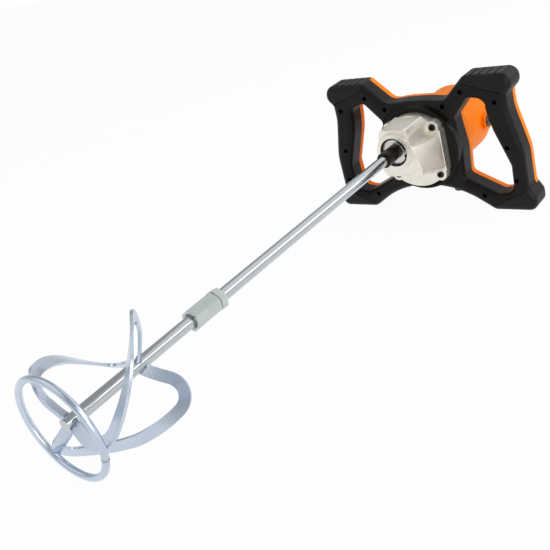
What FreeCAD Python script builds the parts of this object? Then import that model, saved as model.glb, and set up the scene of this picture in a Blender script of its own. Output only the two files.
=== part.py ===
import FreeCAD, Part
import math
import os
from types import SimpleNamespace

# Two-hand mixing drill with its mixing paddle.
# The tool is drawn with the spindle on the Y axis, the paddle towards -Y, the rear of the motor towards +Y
# and the top towards +Z. Y = 0 is the face of the front shell. At the end every piece is tilted and lifted
# as one, so that the lower bumpers and the paddle lie on the ground at Z = 0.

# Driving sizes in millimetres, degrees and counts.
SIZES = {
    # Outline of the shells, seen from the front, right half; heights are from the spindle axis.
    "crown_half_width": 17.0,
    "crown_rise": 2.6,
    "crown_round": 110.0,
    "valley_half_width": 44.0,
    "valley_height": 42.0,
    "valley_round": 18.0,
    "upper_bumper_inner": 78.0,
    "upper_bumper_outer": 142.0,
    "upper_bumper_top": 74.5,
    "upper_bumper_side": 20.5,
    "upper_bumper_round": 14.0,
    "waist_half_width": 133.5,
    "waist_height": 45.0,
    "shoulder_height": 24.0,
    "grip_half_width": 147.4,
    "grip_swell_depth": 34.0,
    "grip_end_depth": 84.0,
    "grip_round": 80.0,
    "lower_bumper_inner": 97.0,
    "lower_bumper_outer": 156.0,
    "lower_bumper_side": 20.0,
    "lower_bumper_round": 11.0,
    "bottom_depth": 118.0,
    "belly_half_width": 43.5,
    "belly_depth": 82.5,
    "belly_round": 130.0,
    "edge_round": 12.5,
    # Hand loops.
    "grip_width_top": 28.5,
    "grip_width_bottom": 20.0,
    "loop_inner": 61.5,
    "loop_top": 44.5,
    "loop_knee": 52.0,
    "loop_bottom": 94.5,
    "loop_round": 8.0,
    "loop_corner_round": 14.0,
    # Shells.
    "front_depth": 28.0,
    "rear_depth": 15.0,
    "shell_wall": 3.5,
    "front_edge_round": 9.0,
    "rear_edge_round": 9.0,
    "collar_drop": 21.0,
    "collar_radius": 61.0,
    "collar_height": 5.0,
    "collar_recess_radius": 57.6,
    "collar_recess_floor": 1.0,
    "collar_groove_inner": 62.8,
    "collar_groove_width": 1.8,
    "collar_groove_depth": 1.2,
    "ledge_depth": 10.0,
    "ledge_opening": 38.0,
    "can_radius": 51.5,
    "can_wall": 4.5,
    "can_length": 108.0,
    "can_end_wall": 9.0,
    "can_edge_round": 18.0,
    "vent_width": 4.0,
    "vent_pitch": 9.0,
    "vent_reach": 40.0,
    # Bumpers.
    "parting_groove_width": 1.2,
    "parting_groove_depth": 1.0,
    "bumper_ribs": 5,
    "bumper_rib_pitch": 11.0,
    "bumper_rib_gap": 2.2,
    "bumper_rib_depth": 1.3,
    # Shell screws.
    "screw_radius": 1.75,
    "screw_head_radius": 3.3,
    "screw_head_height": 2.6,
    "screw_sink": 9.0,
    "screw_length": 30.0,
    "boss_radius": 5.0,
    # Gear housing.
    "spindle_above_motor": 25.0,
    "flange_radius": 52.3,
    "flange_half_width": 44.0,
    "flange_front": 16.0,
    "flange_thickness": 10.0,
    "block_front": 62.0,
    "nose_front": 68.0,
    "nose_radius": 25.0,
    "housing_wall": 2.4,
    "ear_spacing_x": 67.0,
    "ear_spacing_z": 69.0,
    "ear_radius": 9.0,
    "upper_ear_pocket": 11.0,
    "lower_ear_pocket": 9.0,
    "ear_sink": 3.0,
    "cap_screw_radius": 2.5,
    "cap_head_radius": 4.25,
    "cap_head_height": 5.0,
    "cap_socket_radius": 2.0,
    "cap_screw_length": 22.0,
    "plate_thickness": 8.0,
    # Gear train.
    "first_module": 0.8,
    "first_pinion_teeth": 12,
    "first_gear_teeth": 40,
    "first_gear_width": 7.5,
    "second_module": 1.25,
    "second_pinion_teeth": 12,
    "second_gear_teeth": 32,
    "second_gear_width": 11.0,
    "pressure_angle": 20.0,
    "addendum_share": 0.7,
    "dedendum_share": 1.15,
    "tooth_backlash": 0.12,
    "gear_side_gap": 1.2,
    "gear_rim_gap": 1.0,
    # Spindle and its bearings.
    "spindle_radius": 10.0,
    "spindle_gear_seat": 7.0,
    "spindle_tail_radius": 5.0,
    "spindle_reach": 26.0,
    "spindle_collar_radius": 10.4,
    "spindle_collar_width": 3.0,
    "bearing_radius": 20.0,
    "bearing_width": 12.0,
    "bearing_sink": 3.5,
    "circlip_radius": 17.2,
    "circlip_width": 1.5,
    "circlip_bite": 0.9,
    "bush_wall": 2.0,
    "intermediate_radius": 4.0,
    "intermediate_seat": 6.0,
    "front_bush_length": 6.0,
    # Motor.
    "shaft_radius": 5.0,
    "shaft_tail_radius": 4.0,
    "front_bearing_radius": 13.0,
    "rear_bearing_radius": 11.0,
    "rear_bearing_width": 7.0,
    "fan_radius": 42.0,
    "fan_front": 13.0,
    "fan_width": 10.0,
    "fan_disc": 2.5,
    "fan_blades": 12,
    "fan_blade_thickness": 2.0,
    "fan_hub_radius": 11.0,
    "baffle_width": 3.0,
    "baffle_rim": 6.0,
    "stack_clearance": 6.0,
    "air_gap": 0.6,
    "armature_radius": 27.2,
    "armature_slots": 12,
    "slot_width": 3.0,
    "slot_depth": 2.2,
    "winding_radius": 23.5,
    "winding_overhang": 6.0,
    "pole_half_height": 15.0,
    "coil_half_height": 22.0,
    "coil_inner": 30.0,
    "coil_outer": 36.8,
    "coil_overhang": 5.0,
    "commutator_radius": 15.0,
    "commutator_length": 16.0,
    "commutator_clearance": 8.0,
    "winding_room": 12.0,
    "commutator_bars": 24,
    "brush_width": 11.0,
    "brush_height": 6.4,
    "brush_length": 17.0,
    "holder_wall": 1.6,
    "holder_flange": 3.0,
    "brush_collar_radius": 12.0,
    "brush_collar_reach": 56.5,
    "brush_cap_radius": 8.8,
    "brush_cap_proud": 1.2,
    "brush_cap_thickness": 8.0,
    "brush_slot_width": 2.0,
    "brush_slot_depth": 2.0,
    # Switch, trigger, lock button, speed dial and cord inlet, in the right half.
    "switch_thickness": 13.0,
    "switch_depth": 22.0,
    "switch_height": 38.0,
    "switch_top": 30.0,
    "switch_clearance": 4.0,
    "trigger_width": 18.0,
    "trigger_height": 29.0,
    "trigger_top": 29.0,
    "trigger_proud": 8.0,
    "trigger_travel": 5.0,
    "trigger_slot_gap": 0.3,
    "lock_radius": 4.0,
    "lock_flange_radius": 5.2,
    "lock_flange_thickness": 1.7,
    "lock_proud": 3.2,
    "lock_x": 126.0,
    "lock_depth": 14.0,
    "dial_x": 62.0,
    "dial_z": 42.0,
    "dial_radius": 8.0,
    "dial_height": 6.5,
    "dial_gap": 0.3,
    "dial_shaft_radius": 2.5,
    "dial_shaft_depth": 4.5,
    "module_size": 11.0,
    "module_depth": 19.0,
    "inlet_x": 38.0,
    "inlet_radius": 8.0,
    "inlet_bore": 4.0,
    "inlet_flange_radius": 10.0,
    "inlet_collar": 2.8,
    "inlet_proud": 14.0,
    # Paddle.
    "rod_radius": 7.25,
    "stud_radius": 6.0,
    "stud_length": 22.0,
    "upper_rod_length": 372.0,
    "lock_nut_length": 10.0,
    "coupling_length": 36.5,
    "coupling_overlap": 16.0,
    "hex_across_flats": 22.0,
    "hex_chamfer": 0.8,
    "nut_groove_width": 1.2,
    "nut_groove_depth": 1.2,
    "coupling_turn": 33.0,
    "lock_nut_turn": 25.0,
    "countersink_radius": 9.0,
    "countersink_depth": 2.5,
    "lower_rod_radius": 6.8,
    "lower_rod_tip": 654.0,
    "blade_width": 12.0,
    "blade_thickness": 3.0,
    "blade_top": 537.5,
    "blade_top_weld": 561.9,
    "blade_top_round": 19.1,
    "blade_bottom": 662.0,
    "blade_bottom_weld": 647.8,
    "blade_bottom_round": 19.8,
    "blade_top_angle": -27.9,
    "blade_twist": 0.88,
    "blade_tilt": 44.0,
    "blade_shoulder_radius": 56.2,
    "blade_belly_radius": 59.0,
    "blade_belly_round": 60.0,
    "blade_foot_radius": 51.3,
    "blade_count": 3,
    "ring_radius": 53.0,
    "ring_wire_radius": 3.5,
    "ring_station": 658.2,
    # Clearances.
    "running_gap": 0.05,
    "seam_gap": 0.04,
    "seat_gap": 0.02,
    "drop_in_gap": 0.3,
}

# Places of the shell screws on the right half: distance from the middle, height over the spindle axis.
SHELL_SCREWS = ((74.0, 54.3), (45.0, 35.8), (119.3, 37.8), (127.7, -25.0), (134.0, -72.3), (85.5, -95.0))

document = FreeCAD.newDocument("mixing_drill")
sheet = document.addObject("Spreadsheet::Sheet", "Sizes")
for row, (alias, number) in enumerate(SIZES.items(), start=1):
    sheet.set(f"A{row}", alias)
    sheet.set(f"B{row}", str(number))
    sheet.setAlias(f"B{row}", alias)
document.recompute()


class Dim:
    """A size together with the formula that gives it from the sheet's cells."""

    def __init__(self, value, text):
        self.value = float(value)
        self.text = text

    def __float__(self):
        return self.value

    def __neg__(self):
        return Dim(-self.value, f"(-{self.text})")

    def __add__(self, other):
        other = dim(other)
        return Dim(self.value + other.value, f"({self.text} + {other.text})")

    def __sub__(self, other):
        other = dim(other)
        return Dim(self.value - other.value, f"({self.text} - {other.text})")

    def __mul__(self, other):
        other = dim(other)
        return Dim(self.value * other.value, f"({self.text} * {other.text})")

    def __truediv__(self, other):
        other = dim(other)
        return Dim(self.value / other.value, f"({self.text} / {other.text})")

    def __radd__(self, other):
        return dim(other) + self

    def __rsub__(self, other):
        return dim(other) - self

    def __rmul__(self, other):
        return dim(other) * self


def dim(size):
    """Give a plain number the form of a size."""
    return size if isinstance(size, Dim) else Dim(size, f"({float(size)!r})")


d = SimpleNamespace(**{alias: Dim(sheet.get(alias), f"Sizes.{alias}") for alias in SIZES})
nodes = []


def vector(x, y, z):
    return FreeCAD.Vector(float(x), float(y), float(z))


def bind(thing, **formulas):
    """Bind properties of a document object to formulas in the sheet's cells."""
    for name, size in formulas.items():
        thing.setExpression(name.replace("__", "."), dim(size).text)


def place(thing, x, y, z):
    bind(thing, Placement__Base__x=x, Placement__Base__y=y, Placement__Base__z=z)


def lie(thing, axis):
    """Lay a primitive that stands along Z down along the named axis."""
    turn = {"x": FreeCAD.Rotation(vector(0, 1, 0), 90), "y": FreeCAD.Rotation(vector(1, 0, 0), -90)}
    if axis in turn:
        thing.Placement = FreeCAD.Placement(vector(0, 0, 0), turn[axis])


def rod_y(name, radius, start, end, x=0, z=0):
    """A plain cylinder along Y between two stations."""
    thing = document.addObject("Part::Cylinder", name)
    lie(thing, "y")
    bind(thing, Radius=radius, Height=dim(end) - start)
    place(thing, x, start, z)
    return thing


def rod_x(name, radius, start, end, y, z):
    thing = document.addObject("Part::Cylinder", name)
    lie(thing, "x")
    bind(thing, Radius=radius, Height=dim(end) - start)
    place(thing, start, y, z)
    return thing


def rod_z(name, radius, start, end, x, y):
    thing = document.addObject("Part::Cylinder", name)
    bind(thing, Radius=radius, Height=dim(end) - start)
    place(thing, x, y, start)
    return thing


def box(name, x, y, z):
    """A box from three pairs of limits."""
    thing = document.addObject("Part::Box", name)
    bind(thing, Length=dim(x[1]) - x[0], Width=dim(y[1]) - y[0], Height=dim(z[1]) - z[0])
    place(thing, x[0], y[0], z[0])
    return thing


def fuse(name, *things):
    thing = document.addObject("Part::MultiFuse", name)
    thing.Shapes = list(things)
    return thing


def cut(name, base, *tools):
    thing = document.addObject("Part::Cut", name)
    thing.Base = base
    thing.Tool = tools[0] if len(tools) == 1 else fuse(f"{name}_cutters", *tools)
    return thing


def common(name, first, second):
    thing = document.addObject("Part::Common", name)
    thing.Base = first
    thing.Tool = second
    return thing


def group(name, *things):
    thing = document.addObject("Part::Compound", name)
    thing.Links = list(things)
    return thing


def solid(name, shape):
    """An object whose shape is worked out here from the sheet's values."""
    thing = document.addObject("Part::Feature", name)
    thing.Shape = shape
    return thing


def keep(thing):
    """Count an object as one of the tool's separate pieces."""
    thing.Label = thing.Name
    nodes.append(thing)
    return thing


def tube_y(name, outer, inner, start, end, x=0, z=0):
    """A plain ring or bush along Y."""
    blank = rod_y(f"{name}_blank", outer, start, end, x, z)
    bore = rod_y(f"{name}_bore", inner, dim(start) - 1, dim(end) + 1, x, z)
    return cut(name, blank, bore)


# Flat outlines: lists of corners, each with its x, its z and its rounding.

def mirrored(right):
    """Complete an outline that runs down the right half with its mirror image."""
    return list(right) + [(-x, z, r) for x, z, r in reversed(right)]


def numbers(corners):
    return [(float(x), float(z), float(r)) for x, z, r in corners]


def inset(corners, wall):
    """Move every side of a rounded outline inwards by a wall, or outwards where the wall is negative."""
    corners = numbers(corners)
    wall = float(wall)
    count = len(corners)
    area = sum(corners[i - 1][0] * corners[i][1] - corners[i][0] * corners[i - 1][1] for i in range(count))
    side = 1.0 if area > 0 else -1.0
    moved = []
    for i in range(count):
        before, here, after = corners[i - 1], corners[i], corners[(i + 1) % count]
        into = unit(here[0] - before[0], here[1] - before[1])
        away = unit(after[0] - here[0], after[1] - here[1])
        normal_in = (-into[1] * side, into[0] * side)
        normal_out = (-away[1] * side, away[0] * side)
        share = wall / (1.0 + normal_in[0] * normal_out[0] + normal_in[1] * normal_out[1])
        x = here[0] + (normal_in[0] + normal_out[0]) * share
        z = here[1] + (normal_in[1] + normal_out[1]) * share
        turn = (into[0] * away[1] - into[1] * away[0]) * side
        rounding = here[2] - wall if turn > 0 else here[2] + wall
        moved.append((x, z, max(rounding, 0.0)))
    return moved


def unit(x, z):
    length = math.hypot(x, z)
    return (x / length, z / length)


def rounded(corners):
    """Lines and arcs that follow an outline with its corners rounded."""
    corners = numbers(corners)
    count = len(corners)
    stops = []
    for i in range(count):
        before, here, after = corners[i - 1], corners[i], corners[(i + 1) % count]
        back = unit(before[0] - here[0], before[1] - here[1])
        on = unit(after[0] - here[0], after[1] - here[1])
        half = 0.5 * math.acos(max(-1.0, min(1.0, back[0] * on[0] + back[1] * on[1])))
        reach = here[2] / math.tan(half)
        middle = unit(back[0] + on[0], back[1] + on[1])
        depth = here[2] / math.sin(half) - here[2]
        corner = vector(here[0], here[1], 0)
        stops.append((
            corner + vector(back[0], back[1], 0) * reach,
            corner + vector(middle[0], middle[1], 0) * depth,
            corner + vector(on[0], on[1], 0) * reach,
        ))
    path = []
    for i in range(count):
        start, middle, end = stops[i]
        if (end - start).Length > 1e-6:
            path.append(Part.Arc(start, middle, end))
        following = stops[(i + 1) % count][0]
        if (following - end).Length > 1e-6:
            path.append(Part.LineSegment(end, following))
    return path


def outline_sketch(body, name, outlines, station):
    """A sketch square to Y at a station, holding one or more closed outlines."""
    plane = [feature for feature in body.Origin.OriginFeatures if feature.Role == "XZ_Plane"][0]
    sketch = body.newObject("Sketcher::SketchObject", name)
    sketch.AttachmentSupport = (plane, "")
    sketch.MapMode = "FlatFace"
    bind(sketch, AttachmentOffset__Base__z=-dim(station))
    for corners in outlines:
        sketch.addGeometry(rounded(corners), False)
    return sketch


def prism(name, outlines, start, end):
    """A body padded along Y from flat outlines."""
    body = document.addObject("PartDesign::Body", name)
    sketch = outline_sketch(body, f"{name}_outline", outlines, start)
    pad = body.newObject("PartDesign::Pad", f"{name}_pad")
    pad.Profile = sketch
    pad.Reversed = True
    bind(pad, Length=dim(end) - start)
    return body


def round_edges(body, name, radius, wanted):
    """Round the edges of a body that the test picks out."""
    document.recompute()
    base = body.Tip
    fillet = body.newObject("PartDesign::Fillet", name)
    names = [f"Edge{i}" for i, edge in enumerate(base.Shape.Edges, start=1) if wanted(edge)]
    fillet.Base = (base, names)
    bind(fillet, Radius=radius)
    return body


def at_station(station):
    """A test for edges that lie square to Y at a station."""
    def wanted(edge):
        return all(abs(vertex.Point.y - float(station)) < 1e-4 for vertex in edge.Vertexes)
    return wanted


# Stations along the spindle axis and places of the shafts.
parting = d.front_depth
rear_face = parting + d.rear_depth
can_end = parting + d.can_length
motor_z = -d.spindle_above_motor
collar_z = -d.collar_drop
flange_front = -d.flange_front
flange_back = flange_front + d.flange_thickness
plate_back = flange_back + d.plate_thickness
block_front = -d.block_front
nose_front = -d.nose_front
bearing_front = nose_front + d.bearing_sink
bearing_back = bearing_front + d.bearing_width
spindle_end = nose_front - d.spindle_reach
can_bore = d.can_radius - d.can_wall

# The intermediate shaft stands where both gear pairs are in mesh.
first_distance = d.first_module * (d.first_pinion_teeth + d.first_gear_teeth) / 2
second_distance = d.second_module * (d.second_pinion_teeth + d.second_gear_teeth) / 2
offset = d.spindle_above_motor
squares = second_distance * second_distance - first_distance * first_distance + offset * offset
middle_z = -squares / (offset * 2)
reach_squared = second_distance * second_distance - middle_z * middle_z
middle_x = Dim(math.sqrt(float(reach_squared)), f"sqrt({reach_squared.text})")


def valley():
    """The crowned top between the two arms."""
    return [
        (d.crown_half_width, d.valley_height + d.crown_rise, d.crown_round),
        (d.valley_half_width, d.valley_height, d.valley_round),
    ]


def outer_outline():
    """The whole body seen from the front, bumpers included."""
    right = valley() + [
        (d.upper_bumper_inner, d.upper_bumper_top, d.edge_round),
        (d.upper_bumper_outer, d.upper_bumper_top, d.upper_bumper_round),
        (d.upper_bumper_outer, d.upper_bumper_top - d.upper_bumper_side, d.edge_round),
        (d.waist_half_width, d.waist_height, d.loop_round),
        (d.waist_half_width, d.shoulder_height, d.grip_round),
        (d.grip_half_width, -d.grip_swell_depth, d.grip_round),
        (d.grip_half_width, -d.grip_end_depth, d.loop_corner_round),
        (d.lower_bumper_outer, d.lower_bumper_side - d.bottom_depth, d.edge_round),
        (d.lower_bumper_outer, -d.bottom_depth, d.lower_bumper_round),
        (d.lower_bumper_inner, -d.bottom_depth, d.edge_round),
        (d.belly_half_width, -d.belly_depth, d.belly_round),
    ]
    return mirrored(right)


def upper_parting():
    """The line between the shells and an upper bumper, from the top edge to the outer side."""
    inner = d.upper_bumper_inner
    low = d.waist_height + 2
    return [
        (inner - 1, d.upper_bumper_top - 0.5, 0),
        (inner + 1.5, d.upper_bumper_top - 9, 0),
        (inner + 12, d.upper_bumper_top - 13.5, 0),
        (d.waist_half_width + 0.5, low, 0),
    ]


def lower_parting():
    """The line between the shells and a lower bumper, from the outer side to the bottom edge."""
    inner = d.lower_bumper_inner
    return [
        (d.grip_half_width, -d.grip_end_depth - 3, 0),
        (inner + 32, -d.bottom_depth + 22, 0),
        (inner + 17, -d.bottom_depth + 15.5, 0),
        (inner - 2, -d.bottom_depth + 7.5, 0),
        (inner - 1, -d.bottom_depth + 0.5, 0),
    ]


def shell_outline():
    """The part of the body that the two shells fill, which stops at the bumpers."""
    right = valley() + upper_parting()
    right += [
        (d.waist_half_width, d.shoulder_height, d.grip_round),
        (d.grip_half_width, -d.grip_swell_depth, d.grip_round),
    ]
    right += lower_parting()
    right += [(d.belly_half_width, -d.belly_depth, d.belly_round)]
    return mirrored(right)


def loop_outline():
    """The right hand loop."""
    top_x = d.waist_half_width - d.grip_width_top
    bottom_x = d.grip_half_width - d.grip_width_bottom
    return [
        (d.loop_inner - 5.5, d.loop_top - 27.5, d.loop_round),
        (d.loop_inner + 19, d.loop_top, d.loop_round),
        (top_x - 2, d.loop_top - 3, d.loop_corner_round),
        (top_x, d.loop_top - 26.5, d.grip_round / 2),
        (top_x + 3.5, d.loop_top - 44.5, d.grip_round),
        (bottom_x, -d.loop_knee, d.loop_corner_round),
        (bottom_x - 1, 2.5 - d.loop_bottom, d.loop_corner_round),
        (d.loop_inner + 43, -d.loop_bottom, d.loop_round),
        (d.loop_inner - 3.5, 24 - d.loop_bottom, d.loop_round),
        (d.loop_inner, 66.5 - d.loop_bottom, d.grip_round),
    ]


def flipped(corners):
    return [(-x, z, r) for x, z, r in corners]


def ribbon(line, width):
    """The outline of a narrow strip along a line of corners."""
    line = numbers(line)
    left, right = [], []
    for i, (x, z, _) in enumerate(line):
        before, after = line[max(i - 1, 0)], line[min(i + 1, len(line) - 1)]
        along = unit(after[0] - before[0], after[1] - before[1])
        across, up = -along[1] * float(width) / 2, along[0] * float(width) / 2
        left.append((x + across, z + up, 0))
        right.append((x - across, z - up, 0))
    return left + right[::-1]


def both_sides(places):
    """Places on the right half together with their mirror images, as sizes."""
    return [(dim(side * x), dim(z)) for x, z in places for side in (1, -1)]


# The common outer form of shells and bumpers, rounded along its front and rear edges.
loops = [loop_outline(), flipped(loop_outline())]
form = prism("outer_form", [outer_outline()] + loops, 0, rear_face)
round_edges(form, "front_edges", d.front_edge_round, at_station(0))
round_edges(form, "rear_edges", d.rear_edge_round, at_station(rear_face))

# Everything past these lines belongs to the four bumpers.
far = 40
outside_x = d.lower_bumper_outer + far
above = d.upper_bumper_top + far
below = -d.bottom_depth - far
upper_line = upper_parting()
upper_region = [(upper_line[0][0], above, 0)] + upper_line
upper_region += [(outside_x, d.waist_height, 0), (outside_x, above, 0)]
lower_line = lower_parting()
lower_region = [(outside_x, 2 - d.grip_end_depth, 0)] + lower_line
lower_region += [(lower_line[-1][0], below, 0), (outside_x, below, 0)]
bumper_names = ("bumper_upper_right", "bumper_upper_left", "bumper_lower_right", "bumper_lower_left")
bumper_outlines = (upper_region, flipped(upper_region), lower_region, flipped(lower_region))
regions = [
    prism(f"{name}_region", [corners], -far, rear_face + far)
    for name, corners in zip(bumper_names, bumper_outlines)
]

parting_lines = (upper_line, flipped(upper_line), lower_line, flipped(lower_line))
grooves_at_bumpers = [
    prism(f"{name}_edge_groove", [ribbon(line, d.parting_groove_width)], -1, d.parting_groove_depth)
    for name, line in zip(bumper_names, parting_lines)
]


def bumper(name, region, edge_groove):
    """A rubber corner pad with cross grooves in its outer face."""
    upper = "upper" in name
    side = 1 if "right" in name else -1
    pad = common(f"{name}_blank", form, region)
    face = d.upper_bumper_top if upper else -d.bottom_depth
    first = d.upper_bumper_inner if upper else d.lower_bumper_inner
    limits = (face - d.bumper_rib_depth, face + far) if upper else (face - far, face + d.bumper_rib_depth)
    grooves = [edge_groove]
    for i in range(int(float(d.bumper_ribs))):
        middle = side * (first + d.bumper_rib_pitch * (i + 1))
        half = d.bumper_rib_gap / 2
        limit_x = (middle - half, middle + half)
        grooves.append(box(f"{name}_groove_{i + 1}", limit_x, (-far, rear_face + far), limits))
    return keep(cut(name, pad, *grooves))


for name, region, edge_groove in zip(bumper_names, regions, grooves_at_bumpers):
    bumper(name, region, edge_groove)

# Hollows of the two shells, a wall inside the outline and a wall clear of the hand loops.
shell_inside = inset(shell_outline(), d.shell_wall)
loop_walls = [inset(corners, -d.shell_wall) for corners in loops]


def hollow(name, start, end):
    space = prism(f"{name}_space", [shell_inside], start, end)
    walls = [
        prism(f"{name}_loop_wall_{i}", [corners], dim(start) - 1, dim(end) + 1)
        for i, corners in enumerate(loop_walls, start=1)
    ]
    return cut(name, space, *walls)


everything = d.lower_bumper_outer + far
front_slab = box("front_slab", (-everything, everything), (-far, parting), (-everything, everything))
seam = box("seam", (-everything, everything), (parting - d.seam_gap / 2, parting + d.seam_gap / 2),
           (-everything, everything))
rear_slab = box("rear_slab", (-everything, everything), (parting, rear_face + far), (-everything, everything))
screw_places = both_sides(SHELL_SCREWS)

# Openings that both shells share.
trigger_base_x = d.waist_half_width - d.grip_width_top
trigger_bottom = d.trigger_top - d.trigger_height
trigger_start = parting - 2 - d.trigger_width / 2
slot_gap = d.trigger_slot_gap
trigger_slot = box(
    "trigger_slot",
    (trigger_base_x - 2 * d.trigger_proud, trigger_base_x + d.switch_clearance + 7),
    (trigger_start - slot_gap, trigger_start + d.trigger_width + slot_gap),
    (trigger_bottom - slot_gap, d.trigger_top + slot_gap),
)
inlet_low = -d.belly_depth - d.inlet_proud
inlet_hole = rod_z("inlet_hole", d.inlet_radius + d.running_gap, inlet_low, d.shell_wall - d.belly_depth + 3,
                   d.inlet_x, parting)

# The switch sits in the right grip between a rib of each shell.
switch_right = d.waist_half_width - d.shell_wall - 1
switch_x = (switch_right - d.switch_thickness, switch_right)
switch_start = parting - 2 - d.switch_depth / 2
switch_y = (switch_start, switch_start + d.switch_depth)
switch_z = (d.switch_top - d.switch_height, d.switch_top)
rib_x = (switch_x[0] + 2, switch_x[1])
rib_z = (switch_z[0] + 10, switch_z[1] - 6)

ear_places = [
    (side * d.ear_spacing_x / 2, collar_z + level * d.ear_spacing_z / 2)
    for side in (1, -1) for level in (1, -1)
]


def flange(name, start, end, gap=0):
    """The round flange with two straight sides and four ears, as large as the gear housing's plus a gap."""
    disc = rod_y(f"{name}_disc", d.flange_radius + gap, start, end, 0, collar_z)
    half = d.flange_half_width + gap
    sides = box(f"{name}_sides", (-half, half), (dim(start) - 1, dim(end) + 1), (-everything, everything))
    ears = [
        rod_y(f"{name}_ear_{i}", d.ear_radius + gap, start, end, x, z)
        for i, (x, z) in enumerate(ear_places, start=1)
    ]
    return fuse(name, common(f"{name}_middle", disc, sides), *ears)


def front_shell():
    """The black half with the collar, the ledge for the gear housing, and the screw bosses."""
    blank = cut("front_blank", common("front_half", form, front_slab), *regions)
    walls = cut("front_walls", blank, hollow("front_hollow", d.shell_wall, parting + 1))
    collar = rod_y("front_collar", d.collar_radius, -d.collar_height, d.ledge_depth, 0, collar_z)
    bosses = [
        rod_y(f"front_boss_{i}", d.boss_radius, d.shell_wall - 1, parting, x, z)
        for i, (x, z) in enumerate(screw_places, start=1)
    ]
    rib = box("front_rib", rib_x, (d.shell_wall - 1, switch_y[0]), rib_z)
    body = fuse("front_body", walls, collar, rib, *bosses)
    pocket = flange("front_pocket", -far, plate_back, d.drop_in_gap)
    opening = rod_y("front_opening", d.ledge_opening, -far, d.ledge_depth + 1, 0, collar_z)
    recess = rod_y("collar_recess", d.collar_recess_radius, -far, -d.collar_recess_floor, 0, collar_z)
    groove = tube_y("collar_groove", d.collar_groove_inner + d.collar_groove_width, d.collar_groove_inner, -1,
                    d.collar_groove_depth, 0, collar_z)
    holes = [recess, groove] + grooves_at_bumpers
    for i, (x, z) in enumerate(screw_places, start=1):
        holes.append(rod_y(f"front_hole_{i}", d.screw_radius + d.running_gap, -1, parting + 1, x, z))
        holes.append(rod_y(f"front_sink_{i}", d.screw_head_radius + d.running_gap, -1, d.screw_sink, x, z))
    for i, (x, z) in enumerate(ear_places, start=1):
        holes.append(rod_y(f"ledge_hole_{i}", d.cap_screw_radius + d.running_gap, 0, d.ledge_depth + 1, x, z))
    return keep(cut("front_shell", body, pocket, opening, trigger_slot, inlet_hole, seam, *holes))


# The carbon brushes press on the middle of the commutator from both sides.
rear_bearing_end = can_end - d.can_end_wall
rear_bearing_start = rear_bearing_end - d.rear_bearing_width
commutator_end = rear_bearing_start - d.commutator_clearance
commutator_start = commutator_end - d.commutator_length
brush_station = commutator_start + d.commutator_length / 2
stack_start = parting + d.stack_clearance
stack_end = commutator_start - d.winding_room
collar_inner = can_bore - 6
cap_outer = d.brush_collar_reach + d.brush_cap_proud
cap_inner = cap_outer - d.brush_cap_thickness
brush_bore = d.brush_cap_radius + d.running_gap
bearing_boss_radius = d.rear_bearing_radius + 4


def motor_can():
    """The drum round the motor, closed at the rear."""
    body = document.addObject("PartDesign::Body", "can_blank")
    drum = body.newObject("PartDesign::AdditiveCylinder", "can_drum")
    drum.Placement = FreeCAD.Placement(vector(0, 0, 0), FreeCAD.Rotation(vector(1, 0, 0), -90))
    bind(drum, Radius=d.can_radius, Height=d.can_length)
    place(drum, 0, parting, motor_z)
    return round_edges(body, "can_edge", d.can_edge_round, at_station(can_end))


def rear_shell():
    """The orange half with the motor can, the brush collars, the rear bearing seat and the vents."""
    blank = cut("rear_blank", common("rear_half", form, rear_slab), *regions)
    walls = cut("rear_walls", blank, hollow("rear_hollow", parting - 1, rear_face - d.shell_wall))
    side_collars = [
        rod_x(f"brush_collar_{i}", d.brush_collar_radius, *limits, brush_station, motor_z)
        for i, limits in enumerate(((collar_inner, d.brush_collar_reach),
                                    (-d.brush_collar_reach, -collar_inner)), start=1)
    ]
    drum = fuse("rear_drum", walls, motor_can())
    can_floor = can_end - d.can_end_wall
    bored = cut("rear_bored", drum, rod_y("can_bore", can_bore, parting - 1, can_floor, 0, motor_z))
    boss = rod_y("bearing_boss", bearing_boss_radius, rear_bearing_start, can_floor + 1, 0, motor_z)
    bosses = [
        rod_y(f"rear_boss_{i}", d.boss_radius, parting, rear_face - d.shell_wall + 1, x, z)
        for i, (x, z) in enumerate(screw_places, start=1)
    ]
    rib = box("rear_rib", rib_x, (switch_y[1], rear_face - d.shell_wall + 1), rib_z)
    body = fuse("rear_body", bored, boss, rib, *side_collars, *bosses)
    holes = [
        rod_y(f"rear_hole_{i}", d.screw_radius + d.running_gap, parting - 1,
              d.screw_sink + d.screw_length + 1, x, z)
        for i, (x, z) in enumerate(screw_places, start=1)
    ]
    holes.append(rod_x("brush_bores", brush_bore, -everything, everything, brush_station, motor_z))
    holes.append(rod_y("bearing_seat", d.rear_bearing_radius + d.seat_gap, rear_bearing_start - 1,
                       rear_bearing_end, 0, motor_z))
    holes.append(rod_y("lock_hole", d.lock_radius + d.running_gap, parting, rear_face + 1,
                       d.lock_x, -d.lock_depth))
    holes.append(rod_y("dial_hole", d.dial_shaft_radius + d.running_gap, parting, rear_face + 1,
                       d.dial_x, d.dial_z))
    for i in (-3, -2, 2, 3):
        middle = motor_z + i * d.vent_pitch + (d.vent_pitch / 2 if i > 0 else -d.vent_pitch / 2)
        half = d.vent_reach / 2
        holes.append(box(f"vent_{i + 4}", (-half, half), (can_end - d.can_end_wall - 1, can_end + 1),
                         (middle - d.vent_width / 2, middle + d.vent_width / 2)))
    return keep(cut("rear_shell", body, trigger_slot, inlet_hole, seam, *holes))


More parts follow.
